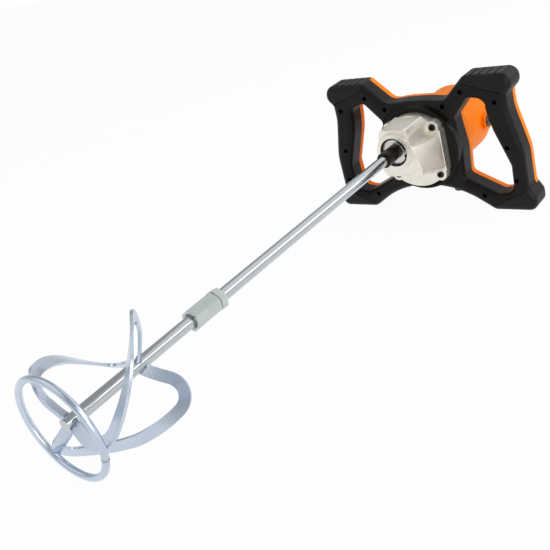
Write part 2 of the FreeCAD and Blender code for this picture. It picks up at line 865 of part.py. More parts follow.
def shell_screws():
    """The screws that hold the two shells together."""
    screws = []
    head_top = d.screw_sink - d.screw_head_height
    tip = d.screw_sink + d.screw_length
    for i, (x, z) in enumerate(screw_places, start=1):
        head = rod_y(f"screw_head_{i}", d.screw_head_radius, head_top, d.screw_sink, x, z)
        shank = rod_y(f"screw_shank_{i}", d.screw_radius, d.screw_sink - 1, tip, x, z)
        slot_y = (head_top - 1, head_top + 1)
        arm = d.screw_head_radius * 0.6
        bar = d.screw_head_radius * 0.12
        level = box(f"screw_cross_a_{i}", (x - arm, x + arm), slot_y, (z - bar, z + bar))
        upright = box(f"screw_cross_b_{i}", (x - bar, x + bar), slot_y, (z - arm, z + arm))
        screws.append(cut(f"screw_{i}", fuse(f"screw_blank_{i}", head, shank), level, upright))
    return keep(group("shell_screws", *screws))


# Gear train: tip radii and the stations of the two pairs.
first_gear_start = flange_back - d.gear_side_gap - d.first_gear_width
second_gear_end = flange_front - 2
second_gear_start = second_gear_end - d.second_gear_width
first_gear_tip = d.first_module * (d.first_gear_teeth / 2 + d.addendum_share)
first_pinion_tip = d.first_module * (d.first_pinion_teeth / 2 + d.addendum_share)
second_gear_tip = d.second_module * (d.second_gear_teeth / 2 + d.addendum_share)
second_pinion_tip = d.second_module * (d.second_pinion_teeth / 2 + d.addendum_share)
front_bush_end = second_gear_start - d.gear_side_gap - 1
front_bush_start = front_bush_end - d.front_bush_length
bush_radius = d.intermediate_radius + d.bush_wall
spindle_bush_radius = d.spindle_tail_radius + d.bush_wall


def housing_block():
    """The tapering block between the flange and the nose, drawn out between two outlines."""
    rim = second_gear_tip + d.gear_rim_gap + d.housing_wall
    side = middle_x + second_pinion_tip + d.gear_rim_gap + d.housing_wall
    top = rim + 5
    left = -d.nose_radius - 0.5
    base = [
        (-d.nose_radius + 3, top + 1, 3),
        (d.nose_radius - 4.5, top + 1, 3),
        (d.flange_half_width - 1, collar_z + 29, 5),
        (d.flange_half_width - 0.5, collar_z + 7, 8),
        (d.flange_half_width - 0.5, collar_z - 23, 6),
        (d.flange_half_width - 6, collar_z - 31, 4),
        (left + 3.5, collar_z - 29, 5),
        (left - 3.5, collar_z - 17, 5),
        (left - 3.5, 12, 8),
    ]
    front = [
        (-d.nose_radius + 6, top, 4),
        (d.nose_radius - 5, top, 4),
        (side - 8, 11, 10),
        (side + 0.5, collar_z + 8, 10),
        (side + 3, collar_z - 9, 6),
        (side + 1.5, collar_z - 15.5, 3),
        (left + 6, collar_z - 16.5, 4),
        (left, collar_z - 8, 5),
        (left, 12, 8),
    ]
    body = document.addObject("PartDesign::Body", "housing_block")
    rear_sketch = outline_sketch(body, "block_base", [base], flange_front + 0.5)
    front_sketch = outline_sketch(body, "block_face", [front], block_front)
    loft = body.newObject("PartDesign::AdditiveLoft", "block_loft")
    loft.Profile = rear_sketch
    loft.Sections = [front_sketch]
    loft.Ruled = True
    return body


def gear_housing():
    """The cast housing: flange with four ears, tapering block, and the nose that holds the bearing."""
    nose = rod_y("housing_nose", d.nose_radius, nose_front, block_front + 3)
    blank = fuse("housing_blank", flange("housing_flange", flange_front, flange_back), housing_block(), nose)
    inside = flange_back + 1
    gear_front = second_gear_start - d.gear_side_gap
    first_front = first_gear_start - d.gear_side_gap
    rim_gap = d.gear_rim_gap
    holes = [
        rod_y("nose_bore", d.bearing_radius + d.seat_gap, nose_front - 1, bearing_back),
        rod_y("nose_passage", d.spindle_radius + 3, nose_front, inside),
        rod_y("circlip_groove", d.bearing_radius + d.circlip_bite, bearing_front - d.circlip_width - 0.2,
              bearing_front),
        rod_y("output_gear_space", second_gear_tip + rim_gap, gear_front, inside),
        rod_y("pinion_space", second_pinion_tip + rim_gap, gear_front, inside, middle_x, middle_z),
        rod_y("intermediate_gear_space", first_gear_tip + rim_gap, first_front, inside, middle_x, middle_z),
        rod_y("armature_pinion_space", first_pinion_tip + rim_gap, first_front, inside, 0, motor_z),
        rod_y("front_bush_seat", bush_radius + d.seat_gap, front_bush_start, inside, middle_x, middle_z),
    ]
    for i, (x, z) in enumerate(ear_places, start=1):
        pocket = d.upper_ear_pocket if float(z) > float(collar_z) else d.lower_ear_pocket
        holes.append(rod_y(f"ear_pocket_{i}", pocket, block_front - 1, flange_front, x, z))
        shank_hole = d.cap_screw_radius + d.running_gap
        holes.append(rod_y(f"ear_hole_{i}", shank_hole, flange_front - 1, inside, x, z))
        head_hole = d.cap_head_radius + 2 * d.drop_in_gap
        holes.append(rod_y(f"ear_sink_{i}", head_hole, block_front, flange_front + d.ear_sink, x, z))
    return keep(cut("gear_housing", blank, *holes))


def gear_housing_screws():
    """Four socket head cap screws through the ears, the plate and the ledge."""
    screws = []
    seat = flange_front + d.ear_sink
    for i, (x, z) in enumerate(ear_places, start=1):
        head = rod_y(f"cap_head_{i}", d.cap_head_radius, seat - d.cap_head_height, seat, x, z)
        shank = rod_y(f"cap_shank_{i}", d.cap_screw_radius, seat - 1, seat + d.cap_screw_length, x, z)
        socket = rod_y(f"cap_socket_{i}", d.cap_socket_radius, seat - d.cap_head_height - 1,
                       seat - d.cap_head_height / 2, x, z)
        screws.append(cut(f"cap_screw_{i}", fuse(f"cap_blank_{i}", head, shank), socket))
    return keep(group("gear_housing_screws", *screws))


def bearing_plate():
    """The plate behind the gears, with the seats of their shafts' rear ends and of the motor's bearing."""
    blank = flange("plate_blank", flange_back, plate_back)
    start = flange_back - 1
    end = plate_back + 1
    holes = [
        rod_y("plate_spindle_seat", spindle_bush_radius + d.seat_gap, start, end),
        rod_y("plate_middle_seat", bush_radius + d.seat_gap, start, end, middle_x, middle_z),
        rod_y("plate_bearing_seat", d.front_bearing_radius + d.seat_gap, start, end, 0, motor_z),
    ]
    for i, (x, z) in enumerate(ear_places, start=1):
        holes.append(rod_y(f"plate_hole_{i}", d.cap_screw_radius + d.running_gap, start, end, x, z))
    return keep(cut("bearing_plate", blank, *holes))


def bearing(name, outer, bore, start, end, x=0, z=0):
    """A ball bearing as one unit, with the shield between its rings set back on both faces."""
    ring = tube_y(f"{name}_rings", outer, dim(bore) + d.running_gap, start, end, x, z)
    low = bore + (outer - bore) * 0.28
    high = bore + (outer - bore) * 0.72
    faces = [
        tube_y(f"{name}_shield_front", high, low, dim(start) - 1, dim(start) + 0.6, x, z),
        tube_y(f"{name}_shield_rear", high, low, dim(end) - 0.6, dim(end) + 1, x, z),
    ]
    return keep(cut(name, ring, *faces))


def spindle_circlip():
    """The internal snap ring in front of the spindle bearing, open at one side with an eye at each end."""
    start = bearing_front - d.circlip_width
    outer = d.bearing_radius + d.circlip_bite - 0.1
    ring = tube_y("circlip_ring", outer, d.circlip_radius, start, bearing_front)
    opening = box("circlip_opening", (0, far), (start - 1, bearing_front + 1), (-4, 4))
    arc = cut("circlip_arc", ring, opening)
    eye_x = d.bearing_radius - 3.4
    eyes = []
    for i, level in enumerate((5.8, -5.8), start=1):
        eyes.append(tube_y(f"circlip_eye_{i}", 2.4, 0.9, start, bearing_front, eye_x, level))
    return keep(fuse("spindle_circlip", arc, *eyes))


def involute(angle):
    return math.tan(angle) - angle


def toothed_wheel(teeth, module, start, end, x, z, tooth_at):
    """A spur gear along Y with involute flanks, one tooth pointing in the given direction."""
    teeth = int(float(teeth))
    pitch = float(module) * teeth / 2
    pressure = math.radians(float(d.pressure_angle))
    base = pitch * math.cos(pressure)
    tip = pitch + float(module) * float(d.addendum_share)
    root = pitch - float(module) * float(d.dedendum_share)
    half_tooth = math.pi / (2 * teeth) - float(d.tooth_backlash) / pitch + involute(pressure)
    low = max(base, root)
    levels = [low, (low + pitch) / 2, pitch, (pitch + tip) / 2, tip]
    halves = [half_tooth - involute(math.acos(min(1.0, base / level))) for level in levels]
    if root < base:
        levels = [root] + levels
        halves = [halves[0]] + halves
    corners = []
    for i in range(teeth):
        middle = tooth_at + 2 * math.pi * i / teeth
        flank = [(level, middle - half) for level, half in zip(levels, halves)]
        flank += [(level, middle + half) for level, half in zip(reversed(levels), reversed(halves))]
        corners += [vector(float(x) + level * math.cos(a), start, float(z) + level * math.sin(a))
                    for level, a in flank]
    face = Part.Face(Part.makePolygon(corners + corners[:1]))
    return face.extrude(vector(0, float(end) - float(start), 0))


# Directions of the lines of centres, seen from the front.
to_motor = math.atan2(float(motor_z - middle_z), -float(middle_x))
to_spindle = math.atan2(-float(middle_z), -float(middle_x))


def half_tooth_on(direction, teeth):
    """The direction that puts a gap between teeth, not a tooth, on the line of centres."""
    return direction + math.pi / float(teeth)


def output_gear():
    wheel = solid("output_gear_wheel", toothed_wheel(
        d.second_gear_teeth, d.second_module, second_gear_start, second_gear_end, 0, 0, to_spindle + math.pi))
    bore = rod_y("output_gear_bore", d.spindle_gear_seat + d.seat_gap, second_gear_start - 1,
                 second_gear_end + 1)
    return keep(cut("output_gear", wheel, bore))


def intermediate_gear():
    end = first_gear_start + d.first_gear_width
    wheel = solid("intermediate_gear_wheel", toothed_wheel(
        d.first_gear_teeth, d.first_module, first_gear_start, end, middle_x, middle_z, to_motor))
    bore = rod_y("intermediate_gear_bore", d.intermediate_seat + d.seat_gap, first_gear_start - 1, end + 1,
                 middle_x, middle_z)
    return keep(cut("intermediate_gear", wheel, bore))


def intermediate_shaft():
    """The shaft between the two gear pairs, with the second pair's pinion cut on it."""
    shaft = rod_y("intermediate_core", d.intermediate_radius, front_bush_start, plate_back,
                  middle_x, middle_z)
    seat = rod_y("intermediate_step", d.intermediate_seat, second_gear_end, flange_back - d.drop_in_gap,
                 middle_x, middle_z)
    pinion = solid("intermediate_pinion", toothed_wheel(
        d.second_pinion_teeth, d.second_module, second_gear_start - 0.5, second_gear_end + 0.5,
        middle_x, middle_z, half_tooth_on(to_spindle, d.second_pinion_teeth)))
    return keep(fuse("intermediate_shaft", shaft, seat, pinion))


def spindle():
    """The output spindle, with a socket for the paddle's stud in its front end."""
    shaft = rod_y("spindle_front", d.spindle_radius, spindle_end, second_gear_start)
    collar_end = spindle_end + d.spindle_collar_width
    collar = rod_y("spindle_collar", d.spindle_collar_radius, spindle_end, collar_end)
    seat = rod_y("spindle_step", d.spindle_gear_seat, second_gear_start - 1, flange_front)
    tail = rod_y("spindle_tail", d.spindle_tail_radius, flange_front - 1, plate_back)
    blank = fuse("spindle_blank", shaft, collar, seat, tail)
    socket_end = spindle_end + d.stud_length + 1
    socket = rod_y("spindle_socket", d.stud_radius + d.running_gap, spindle_end - 1, socket_end)
    return keep(cut("spindle", blank, socket))


def armature_shaft():
    """The motor shaft, with the first pair's pinion cut on its front end."""
    core = rod_y("armature_core", d.shaft_radius, flange_back - 0.4, rear_bearing_start, 0, motor_z)
    tail_end = rear_bearing_end - d.drop_in_gap
    tail = rod_y("armature_tail", d.shaft_tail_radius, rear_bearing_start - 1, tail_end, 0, motor_z)
    pinion = solid("armature_pinion", toothed_wheel(
        d.first_pinion_teeth, d.first_module, first_gear_start - 0.5, flange_back, 0, motor_z,
        half_tooth_on(to_motor + math.pi, d.first_pinion_teeth)))
    return keep(fuse("armature_shaft", core, tail, pinion))


def spoke(name, inner, outer, thickness, start, end, angle, z):
    """A bar along Y whose cross-section points away from an axis at the given angle."""
    thing = document.addObject("Part::Box", name)
    turned = FreeCAD.Rotation(vector(0, 1, 0), -math.degrees(angle))
    thing.Placement = FreeCAD.Placement(vector(0, 0, 0), turned)
    bind(thing, Length=dim(outer) - inner, Width=dim(end) - start, Height=thickness)
    across = math.cos(angle)
    up = math.sin(angle)
    half = dim(thickness) / 2
    place(thing, dim(inner) * across + half * up, start, dim(inner) * up - half * across + z)
    return thing


def spokes(name, count, inner, outer, thickness, start, end, z):
    """Bars spread evenly round an axis."""
    count = int(float(count))
    return [
        spoke(f"{name}_{i + 1}", inner, outer, thickness, start, end, 2 * math.pi * i / count, z)
        for i in range(count)
    ]


shaft_bore = d.shaft_radius + d.seat_gap
fan_end = d.fan_front + d.fan_width


def armature_stack():
    """The slotted iron stack on the motor shaft."""
    drum = tube_y("stack_drum", d.armature_radius, shaft_bore, stack_start, stack_end, 0, motor_z)
    slots = spokes("stack_slot", d.armature_slots, d.armature_radius - d.slot_depth, d.armature_radius + 2,
                   d.slot_width, stack_start - 1, stack_end + 1, motor_z)
    return keep(cut("armature_stack", drum, *slots))


def armature_windings():
    """The ends of the windings that stand out of the stack in front and behind."""
    front = tube_y("winding_front", d.winding_radius, shaft_bore, stack_start - d.winding_overhang,
                   stack_start, 0, motor_z)
    rear = tube_y("winding_rear", d.winding_radius, shaft_bore, stack_end,
                  stack_end + d.winding_overhang + 3, 0, motor_z)
    return keep(group("armature_windings", front, rear))


def commutator():
    """The copper drum that the brushes press on, parted into bars."""
    drum = tube_y("commutator_drum", d.commutator_radius, shaft_bore, commutator_start, commutator_end,
                  0, motor_z)
    gaps = spokes("commutator_gap", d.commutator_bars, d.commutator_radius - 1, d.commutator_radius + 1, 0.7,
                  commutator_start - 1, commutator_end + 1, motor_z)
    return keep(cut("commutator", drum, *gaps))


def cooling_fan():
    """The fan in front of the motor: a hub, straight blades and a disc behind them."""
    hub = rod_y("fan_hub", d.fan_hub_radius, d.fan_front, fan_end, 0, motor_z)
    disc = rod_y("fan_disc", d.fan_radius, fan_end - d.fan_disc, fan_end, 0, motor_z)
    blades = spokes("fan_blade", d.fan_blades, d.fan_hub_radius - 1, d.fan_radius - 1, d.fan_blade_thickness,
                    d.fan_front, fan_end - d.fan_disc + 0.5, motor_z)
    wheel = fuse("fan_wheel", hub, disc, *blades)
    bore = rod_y("fan_bore", shaft_bore, d.fan_front - 1, fan_end + 1, 0, motor_z)
    return keep(cut("cooling_fan", wheel, bore))


def field():
    """The fixed iron stack in the can with its two coils."""
    ring = tube_y("field_ring", can_bore - d.seat_gap, d.armature_radius + d.air_gap, stack_start, stack_end,
                  0, motor_z)
    slots = []
    coils = []
    gap = d.drop_in_gap
    for i, side in enumerate((1, -1), start=1):
        inner, outer = (d.coil_inner, d.coil_outer) if side > 0 else (-d.coil_outer, -d.coil_inner)
        for j, level in enumerate((1, -1), start=1):
            low, high = (d.pole_half_height, d.coil_half_height + gap)
            limits = (motor_z + low, motor_z + high) if level > 0 else (motor_z - high, motor_z - low)
            slots.append(box(f"field_slot_{i}_{j}", (inner - gap, outer + gap),
                             (stack_start - 1, stack_end + 1), limits))
        block = box(f"coil_block_{i}", (inner, outer),
                    (stack_start - d.coil_overhang, stack_end + d.coil_overhang),
                    (motor_z - d.coil_half_height, motor_z + d.coil_half_height))
        window = box(f"coil_window_{i}", (inner - 1, outer + 1), (stack_start, stack_end),
                     (motor_z - d.pole_half_height - gap, motor_z + d.pole_half_height + gap))
        coils.append(cut(f"coil_{i}", block, window))
    keep(cut("field_stack", ring, *slots))
    keep(group("field_coils", *coils))


def brush_gear():
    """On each side of the commutator a carbon brush, its holder and the slotted cap over it."""
    brushes = []
    holders = []
    caps = []
    half_y = d.brush_width / 2
    half_z = d.brush_height / 2
    gap = d.running_gap * 2
    wall = d.holder_wall + gap
    face = rod_y("brush_face", d.commutator_radius + d.running_gap, commutator_start, commutator_end,
                 0, motor_z)

    def bar(name, inner, outer, side, grow):
        limits = (inner, outer) if side > 0 else (-outer, -inner)
        return box(name, limits, (brush_station - half_y - grow, brush_station + half_y + grow),
                   (motor_z - half_z - grow, motor_z + half_z + grow))

    def disc(name, radius, inner, outer, side):
        limits = (inner, outer) if side > 0 else (-outer, -inner)
        return rod_x(name, radius, *limits, brush_station, motor_z)

    start = d.commutator_radius - 1
    holder_start = d.commutator_radius + 3
    holder_end = cap_inner - d.holder_flange
    for i, side in enumerate((1, -1), start=1):
        brushes.append(cut(f"brush_{i}", bar(f"brush_bar_{i}", start, start + d.brush_length, side, 0), face))
        sleeve = bar(f"holder_sleeve_{i}", holder_start, holder_end + 1, side, wall)
        rim = disc(f"holder_rim_{i}", d.brush_cap_radius, holder_end, cap_inner, side)
        hole = bar(f"holder_hole_{i}", holder_start - 1, cap_inner + 1, side, gap)
        holders.append(cut(f"holder_{i}", fuse(f"holder_blank_{i}", sleeve, rim), hole))
        head = disc(f"cap_disc_{i}", d.brush_cap_radius, cap_inner, cap_outer, side)
        half = d.brush_slot_width / 2
        low = cap_outer - d.brush_slot_depth
        limits = (low, cap_outer + 1) if side > 0 else (-cap_outer - 1, -low)
        across = (brush_station - d.brush_collar_radius, brush_station + d.brush_collar_radius)
        slot = box(f"cap_slot_{i}", limits, across, (motor_z - half, motor_z + half))
        caps.append(cut(f"cap_{i}", head, slot))
    keep(group("carbon_brushes", *brushes))
    keep(group("brush_holders", *holders))
    keep(group("brush_caps", *caps))


inner_wall = rear_face - d.shell_wall
trigger_back = switch_x[0] - d.trigger_travel - 0.5


def trigger():
    """The finger trigger in the right loop, which slides into the grip."""
    front = trigger_base_x - d.trigger_proud
    corners = [
        (front, d.trigger_top, 3),
        (front + 2.5, trigger_bottom + 10, 20),
        (front + 6, trigger_bottom, 3),
        (trigger_back, trigger_bottom, 0.5),
        (trigger_back, d.trigger_top, 0.5),
    ]
    return keep(prism("trigger", [corners], trigger_start, trigger_start + d.trigger_width))


def lock_button():
    """The button behind the right grip that holds the trigger in, with a flange inside the shell."""
    flange_end = inner_wall - d.drop_in_gap
    stem = rod_y("lock_stem", d.lock_radius, flange_end - d.lock_flange_thickness, rear_face + d.lock_proud,
                 d.lock_x, -d.lock_depth)
    rim = rod_y("lock_rim", d.lock_flange_radius, flange_end - d.lock_flange_thickness, flange_end,
                d.lock_x, -d.lock_depth)
    return keep(fuse("lock_button", stem, rim))


def speed_control():
    """The dial behind the right shoulder and the module that it turns in."""
    start = rear_face + d.dial_gap
    knob = rod_y("dial_knob", d.dial_radius, start, start + d.dial_height, d.dial_x, d.dial_z)
    stem = rod_y("dial_stem", d.dial_shaft_radius, inner_wall - d.dial_shaft_depth, start + 1,
                 d.dial_x, d.dial_z)
    pointer = box("dial_pointer", (d.dial_x - 0.6, d.dial_x + 0.6),
                  (start + d.dial_height - 0.8, start + d.dial_height + 1), (d.dial_z + 1, d.dial_z + far))
    keep(cut("speed_dial", fuse("dial_blank", knob, stem), pointer))
    half = d.module_size / 2
    block = box("module_block", (d.dial_x - half, d.dial_x + half), (inner_wall - d.module_depth, inner_wall),
                (d.dial_z - half, d.dial_z + half))
    hole = rod_y("module_hole", d.dial_shaft_radius + d.running_gap, inner_wall - d.dial_shaft_depth - 0.5,
                 inner_wall + 1, d.dial_x, d.dial_z)
    keep(cut("speed_module", block, hole))


def cord_inlet_bush():
    """The bush for the cord, held between the two shells by its outer boss and its inner collar."""
    inner_edge = d.inlet_x - d.inlet_flange_radius - 5
    belly_drop = inner_edge * inner_edge / (d.belly_round * 2)
    collar_low = d.shell_wall - d.belly_depth - belly_drop + 0.2
    collar_high = collar_low + d.inlet_collar
    boss_blank = rod_z("inlet_boss_blank", d.inlet_flange_radius, inlet_low, -d.belly_depth,
                       d.inlet_x, parting)
    boss = cut("inlet_boss", boss_blank, form)
    shank = rod_z("inlet_shank", d.inlet_radius, inlet_low + 1, collar_low + 1, d.inlet_x, parting)
    collar = rod_z("inlet_collar_ring", d.inlet_flange_radius, collar_low, collar_high, d.inlet_x, parting)
    bore = rod_z("inlet_bore_hole", d.inlet_bore, inlet_low - 1, collar_high + 1, d.inlet_x, parting)
    return keep(cut("cord_inlet_bush", fuse("inlet_blank", boss, shank, collar), bore))


# Paddle: stations along the axis, all in front of the spindle.
rod_end = spindle_end - d.upper_rod_length
coupling_back = rod_end + d.coupling_overlap
coupling_front = coupling_back - d.coupling_length
ring_y = -d.ring_station


def hexagon(name, start, end, turn):
    """A hexagonal bar along Y, turned about it, with its corners chamfered at both ends."""
    circle = d.hex_across_flats / math.sqrt(3.0)
    bar = document.addObject("Part::Prism", f"{name}_bar")
    bar.Polygon = 6
    lie(bar, "y")
    turned = FreeCAD.Rotation(vector(0, 1, 0), -float(turn)).multiply(bar.Placement.Rotation)
    bar.Placement = FreeCAD.Placement(vector(0, 0, 0), turned)
    bind(bar, Circumradius=circle, Height=dim(end) - start)
    place(bar, 0, start, 0)
    chamfer = d.hex_chamfer
    edge = circle - chamfer * 1.7
    front = document.addObject("Part::Cone", f"{name}_front_cone")
    rear = document.addObject("Part::Cone", f"{name}_rear_cone")
    for cone, low, high, station in ((front, edge, circle, start), (rear, circle, edge, dim(end) - chamfer)):
        lie(cone, "y")
        bind(cone, Radius1=low, Radius2=high, Height=chamfer)
        place(cone, 0, station, 0)
    middle = rod_y(f"{name}_middle", circle, dim(start) + chamfer, dim(end) - chamfer)
    return common(f"{name}_hexagon", bar, fuse(f"{name}_round", front, middle, rear))


def paddle_shaft():
    """The rod in two lengths, joined by a long hexagonal coupling that a nut locks."""
    fit = d.running_gap
    shank = rod_y("rod_shank", d.rod_radius, rod_end, spindle_end)
    stud = rod_y("rod_stud", d.stud_radius, spindle_end - 1, spindle_end + d.stud_length)
    keep(fuse("upper_rod", shank, stud))
    nut_back = coupling_back + d.lock_nut_length
    nut_hole = rod_y("nut_hole", d.rod_radius + fit, coupling_back - 1, nut_back + 1)
    nut_front = coupling_back + d.nut_groove_width
    nut_face = rod_y("nut_face", d.hex_across_flats / 2 - d.nut_groove_depth, coupling_back, nut_front + 1)
    nut_body = fuse("nut_body", hexagon("nut", nut_front, nut_back, d.lock_nut_turn), nut_face)
    keep(cut("lock_nut", nut_body, nut_hole))
    rear_hole = rod_y("coupling_rear_hole", d.rod_radius + fit, rod_end - 0.5, coupling_back + 1)
    front_hole = rod_y("coupling_front_hole", d.lower_rod_radius + fit, coupling_front - 1, rod_end)
    countersink = document.addObject("Part::Cone", "coupling_countersink")
    lie(countersink, "y")
    bind(countersink, Radius1=d.countersink_radius, Radius2=d.lower_rod_radius, Height=d.countersink_depth)
    place(countersink, 0, coupling_front, 0)
    body = hexagon("coupling", coupling_front, coupling_back, d.coupling_turn)
    keep(cut("coupling_nut", body, rear_hole, front_hole, countersink))
    keep(rod_y("lower_rod", d.lower_rod_radius, -d.lower_rod_tip, rod_end - 2))


def blade_path():
    """Stations along the middle of a blade, with the twist about the axis and the stretch along it.

    The path lies in a screw surface round the axis. It is drawn with rounded corners in that surface laid
    flat, where a millimetre along the axis is stretched by the slope of the screw.
    """
    twist = math.radians(float(d.blade_twist))
    stretch = math.hypot(1.0, float(d.blade_shoulder_radius) * twist)
    inner = d.lower_rod_radius - 2.8
    corners = [
        (inner, -d.blade_top_weld, 0.0),
        (d.blade_shoulder_radius, -d.blade_top, d.blade_top_round),
        (d.blade_belly_radius, -(d.blade_top + d.blade_bottom) / 2, d.blade_belly_round),
        (d.blade_foot_radius, -d.blade_bottom, d.blade_bottom_round),
        (inner, -d.blade_bottom_weld, 0.0),
    ]
    flat = [vector(r, float(y) * stretch, rounding) for r, y, rounding in corners]
    stops = [(flat[0].x, flat[0].y)]
    for before, here, after in zip(flat, flat[1:], flat[2:]):
        back = unit(before.x - here.x, before.y - here.y)
        on = unit(after.x - here.x, after.y - here.y)
        half = 0.5 * math.acos(back[0] * on[0] + back[1] * on[1])
        middle = unit(back[0] + on[0], back[1] + on[1])
        reach = here.z / math.sin(half)
        centre = (here.x + middle[0] * reach, here.y + middle[1] * reach)
        turn = math.pi - 2 * half
        sense = 1.0 if back[0] * on[1] - back[1] * on[0] < 0 else -1.0
        facing = math.atan2(-middle[1], -middle[0])
        steps = 12
        for i in range(steps + 1):
            angle = facing + sense * turn * (i / steps - 0.5)
            stops.append((centre[0] + here.z * math.cos(angle), centre[1] + here.z * math.sin(angle)))
    stops.append((flat[-1].x, flat[-1].y))
    return evenly_spaced(stops, 36), twist, stretch


def evenly_spaced(stops, count):
    """Stations at equal steps along a path."""
    lengths = [0.0]
    for before, after in zip(stops, stops[1:]):
        lengths.append(lengths[-1] + math.hypot(after[0] - before[0], after[1] - before[1]))
    stations = []
    leg = 0
    for i in range(count + 1):
        goal = lengths[-1] * i / count
        while leg < len(stops) - 2 and lengths[leg + 1] < goal:
            leg += 1
        share = (goal - lengths[leg]) / (lengths[leg + 1] - lengths[leg])
        before, after = stops[leg], stops[leg + 1]
        stations.append(tuple(p + (q - p) * share for p, q in zip(before, after)))
    return stations


def blade_shape(number):
    """One twisted flat strip, from its weld at the top of the head to its weld near the rod's tip."""
    path, twist, stretch = blade_path()
    first_angle = math.radians(float(d.blade_top_angle)) + 2 * math.pi * number / float(d.blade_count)
    half_width = float(d.blade_width) / 2
    half_thickness = float(d.blade_thickness) / 2
    tilt_angle = math.radians(float(d.blade_tilt))
    sections = []
    for i, (r, level) in enumerate(path):
        before = path[max(i - 1, 0)]
        after = path[min(i + 1, len(path) - 1)]
        out, on = unit(after[0] - before[0], after[1] - before[1])
        y = level / stretch
        angle = first_angle + twist * (y + float(d.blade_top))
        outward = vector(math.cos(angle), 0, math.sin(angle))
        sideways = vector(-math.sin(angle), 0, math.cos(angle))
        lengthwise = vector(0, math.cos(tilt_angle), 0) + sideways * math.sin(tilt_angle)
        across = (outward * on - lengthwise * out) * half_width
        ahead = outward * out + lengthwise * on
        normal = ahead.cross(across).normalize() * half_thickness
        middle = outward * r + vector(0, y, 0)
        left = middle + across
        right = middle - across
        points = [left + normal, right + normal, right - normal, left - normal]
        sections.append(Part.makePolygon(points + points[:1]))
    return Part.makeLoft(sections, True, False)


def mixing_head():
    """Three twisted blades welded to the rod and to the round wire ring."""
    ring = document.addObject("Part::Torus", "mixer_ring")
    lie(ring, "y")
    bind(ring, Radius1=d.ring_radius, Radius2=d.ring_wire_radius)
    place(ring, 0, ring_y, 0)
    keep(ring)
    bar = rod_y("blade_rod_space", d.lower_rod_radius, ring_y - far, rod_end)
    for number in range(int(float(d.blade_count))):
        strip = solid(f"blade_strip_{number + 1}", blade_shape(number))
        keep(cut(f"mixer_blade_{number + 1}", strip, bar, ring))


front_shell()
rear_shell()
shell_screws()
gear_housing()
gear_housing_screws()
bearing_plate()
bearing("spindle_bearing", d.bearing_radius - d.seat_gap, d.spindle_radius, bearing_front, bearing_back)
spindle_circlip()
keep(tube_y("spindle_bush", spindle_bush_radius, d.spindle_tail_radius + d.running_gap, flange_back,
            plate_back))
keep(tube_y("intermediate_front_bush", bush_radius, d.intermediate_radius + d.running_gap, front_bush_start,
            front_bush_end, middle_x, middle_z))
keep(tube_y("intermediate_rear_bush", bush_radius, d.intermediate_radius + d.running_gap, flange_back,
            plate_back, middle_x, middle_z))
spindle()
output_gear()
intermediate_shaft()
intermediate_gear()
armature_shaft()
bearing("armature_front_bearing", d.front_bearing_radius, d.shaft_radius, flange_back, plate_back, 0, motor_z)
bearing("armature_rear_bearing", d.rear_bearing_radius, d.shaft_tail_radius, rear_bearing_start,
        rear_bearing_end, 0, motor_z)
armature_stack()
armature_windings()
commutator()
cooling_fan()
field()
keep(tube_y("fan_baffle", d.can_radius - 1, can_bore - d.baffle_rim, parting - d.baffle_width, parting,
            0, motor_z))
brush_gear()
keep(box("switch_body", switch_x, switch_y, switch_z))
trigger()
lock_button()
speed_control()
cord_inlet_bush()
paddle_shaft()
mixing_head()
document.recompute()

# Nothing is written unless every object came out whole.
failed = [thing.Name for thing in document.Objects if "Invalid" in thing.State or "Error" in thing.State]
for thing in nodes:
    if thing.Shape.isNull() or not thing.Shape.isValid():
        failed.append(thing.Name)
if failed:
    raise RuntimeError("these objects failed: " + ", ".join(failed))


def points_of(names):
    """Points over the surfaces of some pieces."""
    points = []
    for thing in nodes:
        if thing.Name.startswith(names):
            points += thing.Shape.tessellate(0.2)[0]
    return points


def tilt():
    """The angle at which the lower bumpers and the paddle touch the ground together."""
    rear = points_of(("bumper_lower",))
    front = points_of(("mixer_",))

    def lowest(points, angle):
        return min(p.y * math.sin(angle) + p.z * math.cos(angle) for p in points)

    low, high = 0.0, math.radians(15.0)
    for _ in range(40):
        middle = (low + high) / 2
        if lowest(front, middle) > lowest(rear, middle):
            low = middle
        else:
            high = middle
    return (low + high) / 2


# The whole tool is laid down on the ground, with the middle of its base at the origin.
angle = round(math.degrees(tilt()), 4)
rest = FreeCAD.Placement(vector(0, 0, 0), FreeCAD.Rotation(vector(1, 0, 0), angle))
for thing in nodes:
    thing.Placement = rest.multiply(thing.Placement)
limits = FreeCAD.BoundBox()
for thing in nodes:
    limits.add(thing.Shape.optimalBoundingBox(False, False))
shift = vector(round(-limits.Center.x, 4), round(-limits.Center.y, 4), round(-limits.ZMin, 4))
for thing in nodes:
    place_now = thing.Placement
    place_now.Base = place_now.Base + shift
    thing.Placement = place_now

os.makedirs("parts", exist_ok=True)
for thing in nodes:
    thing.Shape.exportStep(f"parts/{thing.Label}.step")
    print(thing.Label, len(thing.Shape.Solids), round(thing.Shape.Volume))
print("tilt", angle, "shift", tuple(shift), "size", limits.XLength, limits.YLength, limits.ZLength)
print("intermediate shaft", float(middle_x), float(middle_z))
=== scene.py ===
"""Two-hand mixing drill with its paddle, dressed and lit for a studio picture."""

from __future__ import annotations

import logging
import math
from dataclasses import dataclass
from enum import Enum

import bpy
from mathutils import Matrix, Vector


